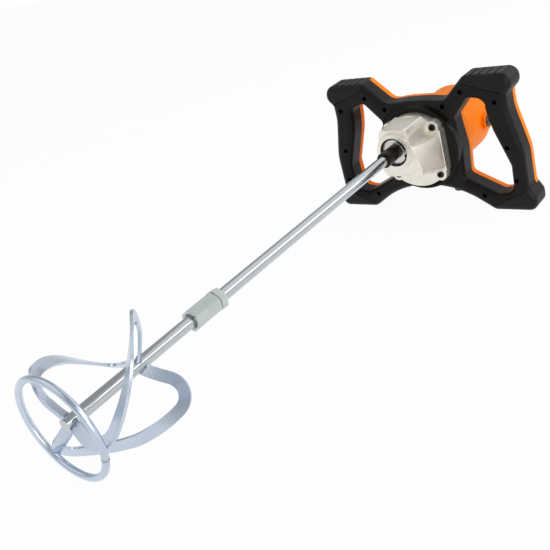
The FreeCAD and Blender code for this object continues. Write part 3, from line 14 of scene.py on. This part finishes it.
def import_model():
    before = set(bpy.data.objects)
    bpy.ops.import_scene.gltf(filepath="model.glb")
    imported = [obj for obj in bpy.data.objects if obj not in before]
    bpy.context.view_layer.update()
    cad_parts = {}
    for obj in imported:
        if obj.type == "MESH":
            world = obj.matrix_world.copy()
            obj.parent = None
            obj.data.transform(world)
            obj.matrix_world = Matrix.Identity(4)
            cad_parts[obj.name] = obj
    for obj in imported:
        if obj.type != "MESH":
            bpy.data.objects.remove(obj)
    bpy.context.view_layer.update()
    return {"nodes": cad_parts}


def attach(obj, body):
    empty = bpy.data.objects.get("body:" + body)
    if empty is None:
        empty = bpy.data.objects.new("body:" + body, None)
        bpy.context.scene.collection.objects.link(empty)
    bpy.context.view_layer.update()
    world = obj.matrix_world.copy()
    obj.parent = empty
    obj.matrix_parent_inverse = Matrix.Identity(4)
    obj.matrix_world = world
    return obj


log = logging.getLogger("mixing_drill")

MM = 0.001

# How much fine detail the noise patterns carry, and the part of their range that is used.
NOISE_DETAIL = 3.0
PATCH_RANGE = (0.3, 0.7)
GRAIN_RANGE = (0.25, 0.75)
EDGE_SAMPLES = 4

# The tool lies tilted on its lower bumpers and paddle. In the tool's own place the spindle is the Y axis,
# the paddle is towards -Y, and Y = 0 is the face of the front shell.
TILT_DEGREES = 4.9958
LIFT_MM = (0.0, 261.5844, 116.8022)


def tool_matrix() -> Matrix:
    """Give the move from the tool's own place, in millimetres, to its place on the floor, in metres.

    Returns:
        A matrix for points and meshes drawn in millimetres along the spindle.
    """
    lift = Matrix.Translation(Vector(LIFT_MM) * MM)
    return lift @ Matrix.Rotation(math.radians(TILT_DEGREES), 4, "X") @ Matrix.Scale(MM, 4)


def linear(code: str) -> tuple[float, float, float, float]:
    """Turn an sRGB hex colour into the linear values that shaders take.

    Args:
        code: six hex digits.

    Returns:
        Red, green, blue and an alpha of 1.
    """
    parts = [int(code[i:i + 2], 16) / 255.0 for i in (0, 2, 4)]
    red, green, blue = (p / 12.92 if p <= 0.04045 else ((p + 0.055) / 1.055) ** 2.4 for p in parts)
    return (red, green, blue, 1.0)


def add_node(tree: bpy.types.NodeTree, kind: str, inputs: dict | None = None, **settings) -> bpy.types.Node:
    """Add a node with its settings, values and links.

    Args:
        tree: the material's node tree.
        kind: the node's type name.
        inputs: for each input, by name or number, a value or an output socket to link from.
        settings: properties of the node itself.

    Returns:
        The new node.
    """
    node = tree.nodes.new(kind)
    for name, value in settings.items():
        setattr(node, name, value)
    for name, value in (inputs or {}).items():
        if isinstance(value, bpy.types.NodeSocket):
            tree.links.new(value, node.inputs[name])
        else:
            node.inputs[name].default_value = value
    return node


class Along(Enum):
    """The way in which a pattern is drawn out."""

    NONE = (1.0, 1.0, 1.0)
    SPINDLE = (1.0, 0.02, 1.0)


@dataclass(frozen=True)
class Finish:
    """A material named for what the real one is and how its surface was made.

    Attributes:
        name: the material's name.
        light: the lighter of its two colours, as sRGB hex.
        dark: the darker of its two colours.
        metallic: 1 for bare metal.
        roughness: the typical roughness of its surface.
        spread: how far the roughness varies about that.
        patch_mm: the size of its colour patches.
        grain_mm: the size of its surface grain.
        bump: the depth of that grain, in millimetres.
        along: the way in which the patches and the grain are drawn out.
        gloss: the specular level, where 0.5 is a plain plastic.
        edge_mm: how far its sharp edges are broken.
    """

    name: str
    light: str
    dark: str
    metallic: float
    roughness: float
    spread: float
    patch_mm: float
    grain_mm: float
    bump: float
    along: Along = Along.NONE
    gloss: float = 0.5
    edge_mm: float = 0.0

    def material(self) -> bpy.types.Material:
        """Build the material's nodes.

        Returns:
            The finished material.
        """
        made = bpy.data.materials.new(self.name)
        made.use_nodes = True
        tree = made.node_tree
        tree.nodes.clear()
        output = add_node(tree, "ShaderNodeOutputMaterial")
        shader = add_node(tree, "ShaderNodeBsdfPrincipled", {
            "Metallic": self.metallic, "Specular IOR Level": self.gloss})
        tree.links.new(shader.outputs[0], output.inputs[0])
        place = add_node(tree, "ShaderNodeTexCoord")
        level = add_node(tree, "ShaderNodeMapping", {
            "Vector": place.outputs["Object"], "Rotation": (math.radians(-TILT_DEGREES), 0.0, 0.0)})
        drawn = add_node(tree, "ShaderNodeMapping", {
            "Vector": level.outputs[0], "Scale": self.along.value})
        patches = add_node(tree, "ShaderNodeTexNoise", {
            "Vector": drawn.outputs[0], "Scale": 1.0 / (self.patch_mm * MM),
            "Detail": NOISE_DETAIL, "Roughness": 0.5})
        grain = add_node(tree, "ShaderNodeTexNoise", {
            "Vector": drawn.outputs[0], "Scale": 1.0 / (self.grain_mm * MM),
            "Detail": NOISE_DETAIL, "Roughness": 0.55})
        ramp = add_node(tree, "ShaderNodeMapRange", {
            "Value": patches.outputs[0], "From Min": PATCH_RANGE[0], "From Max": PATCH_RANGE[1]})
        colour = add_node(tree, "ShaderNodeMix", {
            0: ramp.outputs[0], 6: linear(self.dark), 7: linear(self.light)}, data_type="RGBA")
        rough = add_node(tree, "ShaderNodeMapRange", {
            "Value": grain.outputs[0], "From Min": GRAIN_RANGE[0], "From Max": GRAIN_RANGE[1],
            "To Min": self.roughness - self.spread, "To Max": self.roughness + self.spread})
        height = add_node(tree, "ShaderNodeBump", {
            "Height": grain.outputs[0], "Distance": self.bump * MM, "Strength": 1.0})
        if self.edge_mm > 0.0:
            broken = add_node(tree, "ShaderNodeBevel", {"Radius": self.edge_mm * MM}, samples=EDGE_SAMPLES)
            tree.links.new(broken.outputs[0], height.inputs["Normal"])
        tree.links.new(colour.outputs[2], shader.inputs["Base Color"])
        tree.links.new(rough.outputs[0], shader.inputs["Roughness"])
        tree.links.new(height.outputs[0], shader.inputs["Normal"])
        return made


# Glass-filled nylon, moulded with a fine spark texture: near black and a little brown, with a soft gloss.
BLACK_NYLON = Finish("black_nylon_moulded", "12100d", "0c0a08", 0.0, 0.41, 0.05, 30.0, 1.1, 0.035,
                     gloss=0.17, edge_mm=0.7)
# ABS moulded in orange: an even strong colour with a satin gloss.
ORANGE_ABS = Finish("orange_abs_moulded", "ff8b02", "ff8000", 0.0, 0.42, 0.04, 40.0, 1.2, 0.015,
                    gloss=0.1, edge_mm=0.7)
# Thermoplastic rubber over the corners: black, with a duller and softer gloss than the shells.
BUMPER_RUBBER = Finish("bumper_rubber_moulded", "13110f", "0d0b09", 0.0, 0.46, 0.05, 25.0, 1.4, 0.045,
                       gloss=0.22, edge_mm=0.5)
# Die-cast aluminium, lightly blasted: pale warm grey with a fine sparkle. The real grit is about 0.3 mm,
# and it is drawn at 1.6 mm so that it shows.
CAST_ALUMINIUM = Finish("aluminium_die_cast", "f4f0e8", "e9e4da", 1.0, 0.5, 0.1, 9.0, 1.6, 0.13,
                        edge_mm=0.9)
# Zinc plate on drawn steel: bright and cool, with faint lines along the bar.
ZINC_ROD = Finish("zinc_plated_drawn_bar", "c2c7ca", "b6bbbf", 1.0, 0.17, 0.04, 26.0, 1.2, 0.004,
                  Along.SPINDLE)
# Zinc plate on flat strip and wire: the same plate without the lines.
ZINC_STRIP = Finish("zinc_plated_strip", "cdd7e4", "bdc9d9", 1.0, 0.24, 0.04, 45.0, 2.5, 0.006, edge_mm=0.5)
# Zinc plate on hexagon steel, cut with a milling head: greyer and duller than the bar.
ZINC_HEXAGON = Finish("zinc_plated_hexagon", "c9d0cd", "bcc4c2", 1.0, 0.34, 0.02, 30.0, 4.0, 0.001)
# Weld metal under the plate: duller and darker, with burnt patches.
WELD_METAL = Finish("weld_metal_plated", "b3bac1", "6f757b", 1.0, 0.38, 0.1, 3.0, 0.8, 0.03)
# Steel with a black oxide skin: dark brown-grey with a silky gloss.
BLACK_OXIDE = Finish("steel_black_oxide", "39332e", "2a2623", 1.0, 0.34, 0.07, 6.0, 0.7, 0.015, edge_mm=0.4)
# Ground bearing steel: bright and even.
BEARING_STEEL = Finish("bearing_steel_ground", "d6d6d4", "bdbdbb", 1.0, 0.22, 0.06, 5.0, 0.6, 0.01)
# Sintered bronze bushes.
BRONZE = Finish("bronze_sintered", "b98a4d", "9d7140", 1.0, 0.42, 0.08, 4.0, 0.5, 0.04)
# Cut gear steel with a film of oil.
GEAR_STEEL = Finish("gear_steel_oiled", "8f9092", "77787a", 1.0, 0.24, 0.08, 6.0, 0.7, 0.02)
# Stacked iron sheets.
IRON_STACK = Finish("iron_laminations", "6d6c6b", "4d4c4b", 1.0, 0.45, 0.1, 5.0, 0.6, 0.05)
# Enamelled copper wire.
COPPER_WIRE = Finish("copper_wire_enamelled", "c46b35", "98481f", 0.9, 0.35, 0.1, 3.0, 0.8, 0.2)
# Nylon fan, baffle and other inner mouldings.
GREY_NYLON = Finish("grey_nylon_moulded", "4a4a4b", "3c3c3d", 0.0, 0.45, 0.08, 20.0, 1.0, 0.04)
# Pressed carbon.
CARBON = Finish("carbon_pressed", "262626", "1a1a1a", 0.0, 0.6, 0.1, 4.0, 0.5, 0.04)
# Folded brass sheet.
BRASS_SHEET = Finish("brass_sheet_folded", "d9b45f", "c29b48", 1.0, 0.3, 0.08, 10.0, 0.8, 0.02)
# Dark brown-grey phenolic caps, trigger, button and dial.
DARK_PHENOLIC = Finish("phenolic_moulded", "3b322d", "2d2723", 0.0, 0.42, 0.07, 8.0, 0.9, 0.03, edge_mm=0.4)


@dataclass
class Dresser:
    """Gives finishes to pieces, each material made once.

    Attributes:
        nodes: the tool's solids by name.
        made: the materials made so far.
    """

    nodes: dict[str, bpy.types.Object]
    made: dict[str, bpy.types.Material]

    def dress(self, piece: bpy.types.Object, finish: Finish) -> None:
        """Give a piece one finish.

        Args:
            piece: a solid of the tool or a new piece.
            finish: its material.
        """
        if finish.name not in self.made:
            self.made[finish.name] = finish.material()
        piece.data.materials.clear()
        piece.data.materials.append(self.made[finish.name])
        log.info("%s: %s", piece.name, finish.name)

    def dress_nodes(self, finishes: dict[str, Finish]) -> None:
        """Give each named solid its finish.

        Args:
            finishes: the finish of each solid.
        """
        for node, finish in finishes.items():
            self.dress(self.nodes[node], finish)


@dataclass
class Casing:
    """The two shells with their bumpers, screws and cord inlet."""

    dresser: Dresser

    def dress(self) -> None:
        """Give the mouldings and their screws their finishes."""
        self.dresser.dress_nodes({
            "front_shell": BLACK_NYLON,
            "rear_shell": ORANGE_ABS,
            "bumper_upper_left": BUMPER_RUBBER,
            "bumper_upper_right": BUMPER_RUBBER,
            "bumper_lower_left": BUMPER_RUBBER,
            "bumper_lower_right": BUMPER_RUBBER,
            "shell_screws": BLACK_OXIDE,
            "cord_inlet_bush": BUMPER_RUBBER,
        })


@dataclass
class GearCase:
    """The cast gear housing with its plate, bearings, shafts and gears."""

    dresser: Dresser

    def dress(self) -> None:
        """Give the castings, bearings and gears their finishes."""
        self.dresser.dress_nodes({
            "gear_housing": CAST_ALUMINIUM,
            "gear_housing_screws": BLACK_OXIDE,
            "bearing_plate": CAST_ALUMINIUM,
            "spindle_bearing": BEARING_STEEL,
            "spindle_circlip": BLACK_OXIDE,
            "spindle_bush": BRONZE,
            "spindle": BLACK_OXIDE,
            "output_gear": GEAR_STEEL,
            "intermediate_front_bush": BRONZE,
            "intermediate_rear_bush": BRONZE,
            "intermediate_shaft": GEAR_STEEL,
            "intermediate_gear": GEAR_STEEL,
        })


@dataclass
class Motor:
    """The motor in its can: armature, field, fan and brush gear."""

    dresser: Dresser

    def dress(self) -> None:
        """Give the iron, the windings and the brush gear their finishes."""
        self.dresser.dress_nodes({
            "armature_shaft": GEAR_STEEL,
            "armature_stack": IRON_STACK,
            "armature_windings": COPPER_WIRE,
            "commutator": COPPER_WIRE,
            "cooling_fan": GREY_NYLON,
            "armature_front_bearing": BEARING_STEEL,
            "armature_rear_bearing": BEARING_STEEL,
            "field_stack": IRON_STACK,
            "field_coils": COPPER_WIRE,
            "fan_baffle": GREY_NYLON,
            "brush_holders": BRASS_SHEET,
            "carbon_brushes": CARBON,
            "brush_caps": DARK_PHENOLIC,
        })


@dataclass
class Controls:
    """The trigger with its switch and lock button, and the speed dial with its module."""

    dresser: Dresser

    def dress(self) -> None:
        """Give the controls their finishes."""
        self.dresser.dress_nodes({
            "trigger": DARK_PHENOLIC,
            "switch_body": GREY_NYLON,
            "lock_button": DARK_PHENOLIC,
            "speed_dial": DARK_PHENOLIC,
            "speed_module": GREY_NYLON,
        })


@dataclass
class Paddle:
    """The rod in two lengths, the coupling, and the mixing head with the weld runs that hold it together.

    Attributes:
        dresser: the giver of finishes.
        rod_radius: the lower rod's radius, in millimetres as all these sizes are.
        blade_top: the station on which the twist is measured.
        blade_roots: the stations at which the middle of a blade's strip meets the rod.
        blade_width: the width of the strip.
        blade_thickness: its thickness.
        blade_tilt: the angle between the strip's width and the spindle, in degrees.
        top_angle: the first blade's angle at blade_top, in degrees.
        twist: the twist of a blade in degrees for each millimetre along the spindle.
        blade_count: how many blades there are.
        ring_joint: the two ends of the seam of the first blade and the ring, each with its distance
            from the axis, its station and its angle in degrees.
        ring_radius: the radius of the ring's middle line.
        ring_station: the ring's place along the spindle.
        ring_wire: the radius of the ring's wire.
        ring_seam_angle: where the wire's two ends are welded together, in degrees.
        seam_steps: the butt weld's steps, each with its place along the wire and its height over the wire.
        seam_sides: how many sides the butt weld's disc has.
        root_run: the length and the radius of a weld run on the rod.
        root_shares: places across the strip that a seam on the rod goes through, as shares of half its
            width.
        root_clear: how far a seam on the rod stands off the strip's face.
        root_rise: how far its middle stands over the rod.
        ring_run: the length and the radius of a weld run on the ring.
        run_sides: how many sides a run's disc has.
        run_end: the least share of a run's radius, squared, at its ends.
        ripple_pitch: the spacing of the ripples in a weld run.
        ripple_depth: how far the weld draws in between two ripples, as a share of its radius.
    """

    dresser: Dresser
    rod_radius: float = 6.8
    blade_top: float = 537.5
    blade_roots: tuple[float, float] = (560.6, 648.6)
    blade_width: float = 12.0
    blade_thickness: float = 3.0
    blade_tilt: float = 44.0
    top_angle: float = -27.9
    twist: float = 0.88
    blade_count: int = 3
    ring_joint: tuple[tuple[float, float, float], ...] = ((49.6, 657.1, -131.8), (53.2, 654.7, -129.4))
    ring_radius: float = 53.0
    ring_station: float = 658.2
    ring_wire: float = 3.5
    ring_seam_angle: float = -20.0
    seam_steps: tuple[tuple[float, float], ...] = (
        (-2.0, -0.4), (-1.4, 0.1), (-0.6, 0.4), (-0.15, -0.1),
        (0.15, -0.1), (0.6, 0.4), (1.4, 0.1), (2.0, -0.4))
    seam_sides: int = 20
    root_run: tuple[float, float] = (4.6, 1.3)
    root_shares: tuple[float, ...] = (-0.8, -0.27, 0.27, 0.8)
    root_clear: float = 0.4
    root_rise: float = 0.3
    ring_run: tuple[float, float] = (7.5, 1.7)
    run_sides: int = 12
    run_end: float = 0.06
    ripple_pitch: float = 1.4
    ripple_depth: float = 0.16

    def drawn_out(self, name: str, profile: list[tuple[float, float]], sides: int) -> bpy.types.Object:
        """Model a round piece along Z, by drawing a disc out in steps and resizing it at each.

        Args:
            name: the piece's name.
            profile: the height and the radius of each step.
            sides: how many sides the disc has.

        Returns:
            The piece, in millimetres, about the origin.
        """
        bpy.ops.object.select_all(action="DESELECT")
        height, radius = profile[0]
        bpy.ops.mesh.primitive_circle_add(
            vertices=sides, radius=radius, fill_type="NGON", location=(0.0, 0.0, height))
        piece = bpy.context.active_object
        piece.name = name
        bpy.ops.object.transform_apply(location=True, rotation=False, scale=False)
        bpy.ops.object.mode_set(mode="EDIT")
        bpy.ops.mesh.select_all(action="SELECT")
        for next_height, next_radius in profile[1:]:
            bpy.ops.mesh.extrude_region_move(
                TRANSFORM_OT_translate={"value": (0.0, 0.0, next_height - height)})
            share = next_radius / radius
            bpy.ops.transform.resize(value=(share, share, 1.0), center_override=(0.0, 0.0, next_height))
            height, radius = next_height, next_radius
        bpy.ops.mesh.select_all(action="SELECT")
        bpy.ops.mesh.normals_make_consistent(inside=False)
        bpy.ops.object.mode_set(mode="OBJECT")
        smooth = piece.modifiers.new("smooth", "SUBSURF")
        smooth.levels = 1
        smooth.render_levels = 1
        bpy.ops.object.modifier_apply(modifier=smooth.name)
        bpy.ops.object.shade_smooth()
        return piece

    def weld_run(self, name: str, length: float, radius: float) -> bpy.types.Object:
        """Model a run of weld: a rippled bead that is thin at both ends.

        Args:
            name: the piece's name.
            length: the run's length.
            radius: the bead's radius.

        Returns:
            The bead, along Z about the origin.
        """
        steps = 2 * round(length / self.ripple_pitch)
        profile = []
        for step in range(steps + 1):
            share = step / steps
            swell = math.sqrt(max(1.0 - (2.0 * share - 1.0) ** 4, self.run_end))
            ripple = 1.0 if step % 2 else 1.0 - self.ripple_depth
            profile.append(((share - 0.5) * length, radius * swell * ripple))
        return self.drawn_out(name, profile, self.run_sides)

    def at(self, radius: float, station: float, degrees: float) -> Vector:
        """Find a place on the paddle.

        Args:
            radius: the distance from the spindle's axis.
            station: the place along the spindle, towards the paddle.
            degrees: the angle about the spindle.

        Returns:
            The place in the tool's own millimetres.
        """
        angle = math.radians(degrees)
        return Vector((radius * math.cos(angle), -station, radius * math.sin(angle)))

    def lay(self, piece: bpy.types.Object, place: Vector, along: Vector) -> None:
        """Lay a piece that was modelled along Z in its place on the paddle.

        Args:
            piece: the piece.
            place: where its middle goes.
            along: the way that its Z axis goes.
        """
        turn = along.to_track_quat("Z", "Y").to_matrix().to_4x4()
        piece.data.transform(Matrix.Translation(place) @ turn)

    def copy_of(self, piece: bpy.types.Object, name: str) -> bpy.types.Object:
        """Copy a piece with a mesh of its own.

        Args:
            piece: the piece to copy.
            name: the copy's name.

        Returns:
            The copy.
        """
        copy = piece.copy()
        copy.data = piece.data.copy()
        copy.name = name
        bpy.context.scene.collection.objects.link(copy)
        return copy

    def root_line(self, station: float, side: float) -> list[Vector]:
        """Find places along the seam of the first blade and the rod, on one face of the strip.

        Args:
            station: where the strip's middle meets the rod.
            side: 1 for one face of the strip and -1 for the other.

        Returns:
            The places in order along the seam.
        """
        angle = math.radians(self.top_angle + self.twist * (self.blade_top - station))
        tilt = math.radians(self.blade_tilt)
        out = Vector((math.cos(angle), 0.0, math.sin(angle)))
        sideways = Vector((-math.sin(angle), 0.0, math.cos(angle)))
        across = Vector((0.0, math.cos(tilt), 0.0)) + sideways * math.sin(tilt)
        face = across.cross(out) * side * (self.blade_thickness / 2 + self.root_clear)
        places = []
        for share in self.root_shares:
            loose = out * self.rod_radius + across * share * self.blade_width / 2 + face
            on_rod = Vector((loose.x, 0.0, loose.z)).normalized() * (self.rod_radius + self.root_rise)
            places.append(on_rod + Vector((0.0, loose.y - station, 0.0)))
        return places

    def blade_welds(self) -> list[bpy.types.Object]:
        """Model the runs that hold the first blade, and copy them round to the others.

        Returns:
            One piece for each blade.
        """
        first = self.weld_run("blade_welds_1", *self.ring_run)
        ends = [self.at(*end) for end in self.ring_joint]
        self.lay(first, (ends[0] + ends[1]) / 2, ends[1] - ends[0])
        root = self.weld_run("root_run", *self.root_run)
        runs = [first]
        for station in self.blade_roots:
            for side in (-1.0, 1.0):
                line = self.root_line(station, side)
                for start, end in zip(line, line[1:]):
                    run = self.copy_of(root, "run")
                    self.lay(run, (start + end) / 2, end - start)
                    runs.append(run)
        bpy.data.objects.remove(root)
        bpy.ops.object.select_all(action="DESELECT")
        for run in runs:
            run.select_set(True)
        bpy.context.view_layer.objects.active = first
        bpy.ops.object.join()
        welds = [first]
        for number in range(1, self.blade_count):
            other = self.copy_of(first, f"blade_welds_{number + 1}")
            other.data.transform(Matrix.Rotation(-math.tau * number / self.blade_count, 4, "Y"))
            welds.append(other)
        return welds

    def ring_seam(self) -> bpy.types.Object:
        """Model the butt weld where the ends of the ring's wire meet, with the groove left in its middle.

        Returns:
            The seam.
        """
        profile = [(station, self.ring_wire + step) for station, step in self.seam_steps]
        seam = self.drawn_out("ring_seam", profile, self.seam_sides)
        place = self.at(self.ring_radius, self.ring_station, self.ring_seam_angle)
        self.lay(seam, place, place.cross(Vector((0.0, 1.0, 0.0))))
        return seam

    def build(self) -> None:
        """Model the weld runs and the ring's seam, which turn with the spindle."""
        for weld in self.blade_welds() + [self.ring_seam()]:
            weld.data.transform(tool_matrix())
            self.dresser.dress(weld, WELD_METAL)
            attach(weld, "spindle")

    def dress(self) -> None:
        """Give the rods, the hexagons, the blades and the ring their finishes."""
        self.dresser.dress_nodes({
            "upper_rod": ZINC_ROD,
            "lock_nut": ZINC_HEXAGON,
            "coupling_nut": ZINC_HEXAGON,
            "lower_rod": ZINC_ROD,
            "mixer_blade_1": ZINC_STRIP,
            "mixer_blade_2": ZINC_STRIP,
            "mixer_blade_3": ZINC_STRIP,
            "mixer_ring": ZINC_STRIP,
        })


@dataclass
class Studio:
    """The camera, the pale floor and the soft lights.

    Attributes:
        eye_mm: the camera's place in the tool's own millimetres.
        right: the picture's right in that place.
        up: the picture's up.
        focal_px: the focal length in pixels of a picture 550 wide.
        picture_px: the picture's width.
        sensor_mm: the width of the camera's sensor.
        floor_side: the floor's side, in metres.
        floor_white: the share of plain white in what the camera sees of the floor.
        low_light: the surround's strength at the horizon.
        high_light: its strength from high_level upwards.
        high_level: the height of a direction, as a share of its length, from which the surround is dimmest.
        aim: the place that the lamps face, in metres.
        lamps: for each square lamp its name, its place and side in metres, and its power in watts.
        rod_lamp: the same for the long lamp beside the rod, with its length and its width for its side.
    """

    eye_mm: tuple[float, float, float] = (561.104, -918.739, 361.852)
    right: tuple[float, float, float] = (0.76924222, 0.58145916, -0.26489931)
    up: tuple[float, float, float] = (-0.0839819, 0.50299175, 0.86020134)
    focal_px: float = 788.328
    picture_px: float = 550.0
    sensor_mm: float = 36.0
    floor_side: float = 400.0
    floor_white: float = 0.95
    low_light: float = 0.92
    high_light: float = 0.55
    high_level: float = 0.5
    aim: tuple[float, float, float] = (0.0, 0.1, 0.1)
    lamps: tuple[tuple[str, tuple[float, float, float], float, float], ...] = (
        ("key_lamp", (-0.7, -1.1, 1.7), 2.4, 10.0),
        ("fill_lamp", (1.9, -0.7, 0.5), 1.6, 17.0),
        ("back_lamp", (0.3, 1.6, 1.5), 2.4, 11.0),
    )
    rod_lamp: tuple[str, tuple[float, float, float], float, float, float] = (
        "rod_lamp", (1.25, 1.1, 0.9), 2.4, 0.7, 8.0)

    def camera(self) -> None:
        """Stand the camera where the photograph was taken from."""
        data = bpy.data.cameras.new("camera")
        data.sensor_width = self.sensor_mm
        data.lens = data.sensor_width * self.focal_px / self.picture_px
        data.clip_end = self.floor_side
        eye = bpy.data.objects.new("camera", data)
        bpy.context.scene.collection.objects.link(eye)
        right, up = Vector(self.right), Vector(self.up)
        turn = Matrix((right, up, right.cross(up))).transposed()
        tilt = Matrix.Rotation(math.radians(TILT_DEGREES), 3, "X")
        eye.matrix_world = Matrix.Translation(tool_matrix() @ Vector(self.eye_mm)) @ (tilt @ turn).to_4x4()
        bpy.context.scene.camera = eye

    def seen_directly(self, tree: bpy.types.NodeTree) -> bpy.types.NodeSocket:
        """Pick out rays from the camera, in mirrors and through glass.

        Args:
            tree: the floor's node tree.

        Returns:
            A socket that is 1 for such rays and 0 for others.
        """
        rays = add_node(tree, "ShaderNodeLightPath")
        first = add_node(tree, "ShaderNodeMath", {
            0: rays.outputs["Is Camera Ray"], 1: rays.outputs["Is Glossy Ray"]}, operation="MAXIMUM")
        both = add_node(tree, "ShaderNodeMath", {
            0: first.outputs[0], 1: rays.outputs["Is Transmission Ray"]}, operation="MAXIMUM")
        return both.outputs[0]

    def floor(self) -> None:
        """Lay a wide pale floor that the camera sees as white, with the tool's shadow faint on it."""
        bpy.ops.object.select_all(action="DESELECT")
        bpy.ops.mesh.primitive_plane_add(size=self.floor_side, location=(0.0, 0.0, 0.0))
        floor = bpy.context.active_object
        floor.name = "floor"
        paint = bpy.data.materials.new("floor_paint")
        paint.use_nodes = True
        tree = paint.node_tree
        tree.nodes.clear()
        output = add_node(tree, "ShaderNodeOutputMaterial")
        matt = add_node(tree, "ShaderNodeBsdfDiffuse", {"Color": linear("f4f4f4")})
        white = add_node(tree, "ShaderNodeEmission", {"Color": (1.0, 1.0, 1.0, 1.0), "Strength": 1.0})
        share = add_node(tree, "ShaderNodeMath", {0: self.seen_directly(tree), 1: self.floor_white},
                         operation="MULTIPLY")
        mixed = add_node(tree, "ShaderNodeMixShader", {
            0: share.outputs[0], 1: matt.outputs[0], 2: white.outputs[0]})
        tree.links.new(mixed.outputs[0], output.inputs[0])
        floor.data.materials.append(paint)

    def world(self) -> None:
        """Surround the tool with soft light that is brightest low down, and show white behind it."""
        world = bpy.data.worlds.new("studio")
        world.use_nodes = True
        bpy.context.scene.world = world
        tree = world.node_tree
        tree.nodes.clear()
        output = add_node(tree, "ShaderNodeOutputWorld")
        way = add_node(tree, "ShaderNodeTexCoord")
        parts = add_node(tree, "ShaderNodeSeparateXYZ", {0: way.outputs["Generated"]})
        level = add_node(tree, "ShaderNodeMapRange", {
            "Value": parts.outputs["Z"], "From Min": 0.0, "From Max": self.high_level,
            "To Min": self.low_light, "To Max": self.high_light})
        soft = add_node(tree, "ShaderNodeBackground", {
            "Color": linear("e9eaea"), "Strength": level.outputs[0]})
        white = add_node(tree, "ShaderNodeBackground", {"Color": (1.0, 1.0, 1.0, 1.0), "Strength": 1.0})
        rays = add_node(tree, "ShaderNodeLightPath")
        mixed = add_node(tree, "ShaderNodeMixShader", {
            0: rays.outputs["Is Camera Ray"], 1: soft.outputs[0], 2: white.outputs[0]})
        tree.links.new(mixed.outputs[0], output.inputs[0])

    def lamp(self, name: str, place: tuple[float, float, float], size: float, power: float) -> None:
        """Hang a square soft lamp that faces the middle of the tool.

        Args:
            name: the lamp's name.
            place: where it hangs, in metres.
            size: the length of its side.
            power: its power in watts.
        """
        data = bpy.data.lights.new(name, "AREA")
        data.size = size
        data.energy = power
        lamp = bpy.data.objects.new(name, data)
        bpy.context.scene.collection.objects.link(lamp)
        lamp.location = place
        lamp.rotation_euler = (Vector(self.aim) - Vector(place)).to_track_quat("-Z", "Y").to_euler()

    def strip_lamp(self, name: str, place: tuple[float, float, float], length: float, width: float,
                   power: float) -> None:
        """Hang a long soft lamp beside the tool, level with the spindle and facing it.

        Args:
            name: the lamp's name.
            place: where its middle hangs, in metres.
            length: its length along the spindle.
            width: its width.
            power: its power in watts.
        """
        data = bpy.data.lights.new(name, "AREA")
        data.shape = "RECTANGLE"
        data.size = length
        data.size_y = width
        data.energy = power
        lamp = bpy.data.objects.new(name, data)
        bpy.context.scene.collection.objects.link(lamp)
        along = Vector((0.0, 1.0, 0.0))
        away = Vector((place[0] - self.aim[0], 0.0, place[2] - self.aim[2])).normalized()
        turn = Matrix((along, away.cross(along), away)).transposed()
        lamp.matrix_world = Matrix.Translation(place) @ turn.to_4x4()

    def build(self) -> None:
        """Set up the whole studio."""
        bpy.context.scene.view_settings.view_transform = "Standard"
        self.camera()
        self.world()
        self.floor()
        for lamp in self.lamps:
            self.lamp(*lamp)
        self.strip_lamp(*self.rod_lamp)


def main() -> None:
    """Load the solids, dress each sub-assembly, build the paddle's weld runs and ring seam, and set up the
    studio.
    """
    logging.basicConfig(level=logging.INFO, format="%(message)s")
    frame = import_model()
    dresser = Dresser(frame["nodes"], {})
    Casing(dresser).dress()
    GearCase(dresser).dress()
    Motor(dresser).dress()
    Controls(dresser).dress()
    paddle = Paddle(dresser)
    paddle.build()
    paddle.dress()
    Studio().build()


if __name__ == "__main__":
    main()
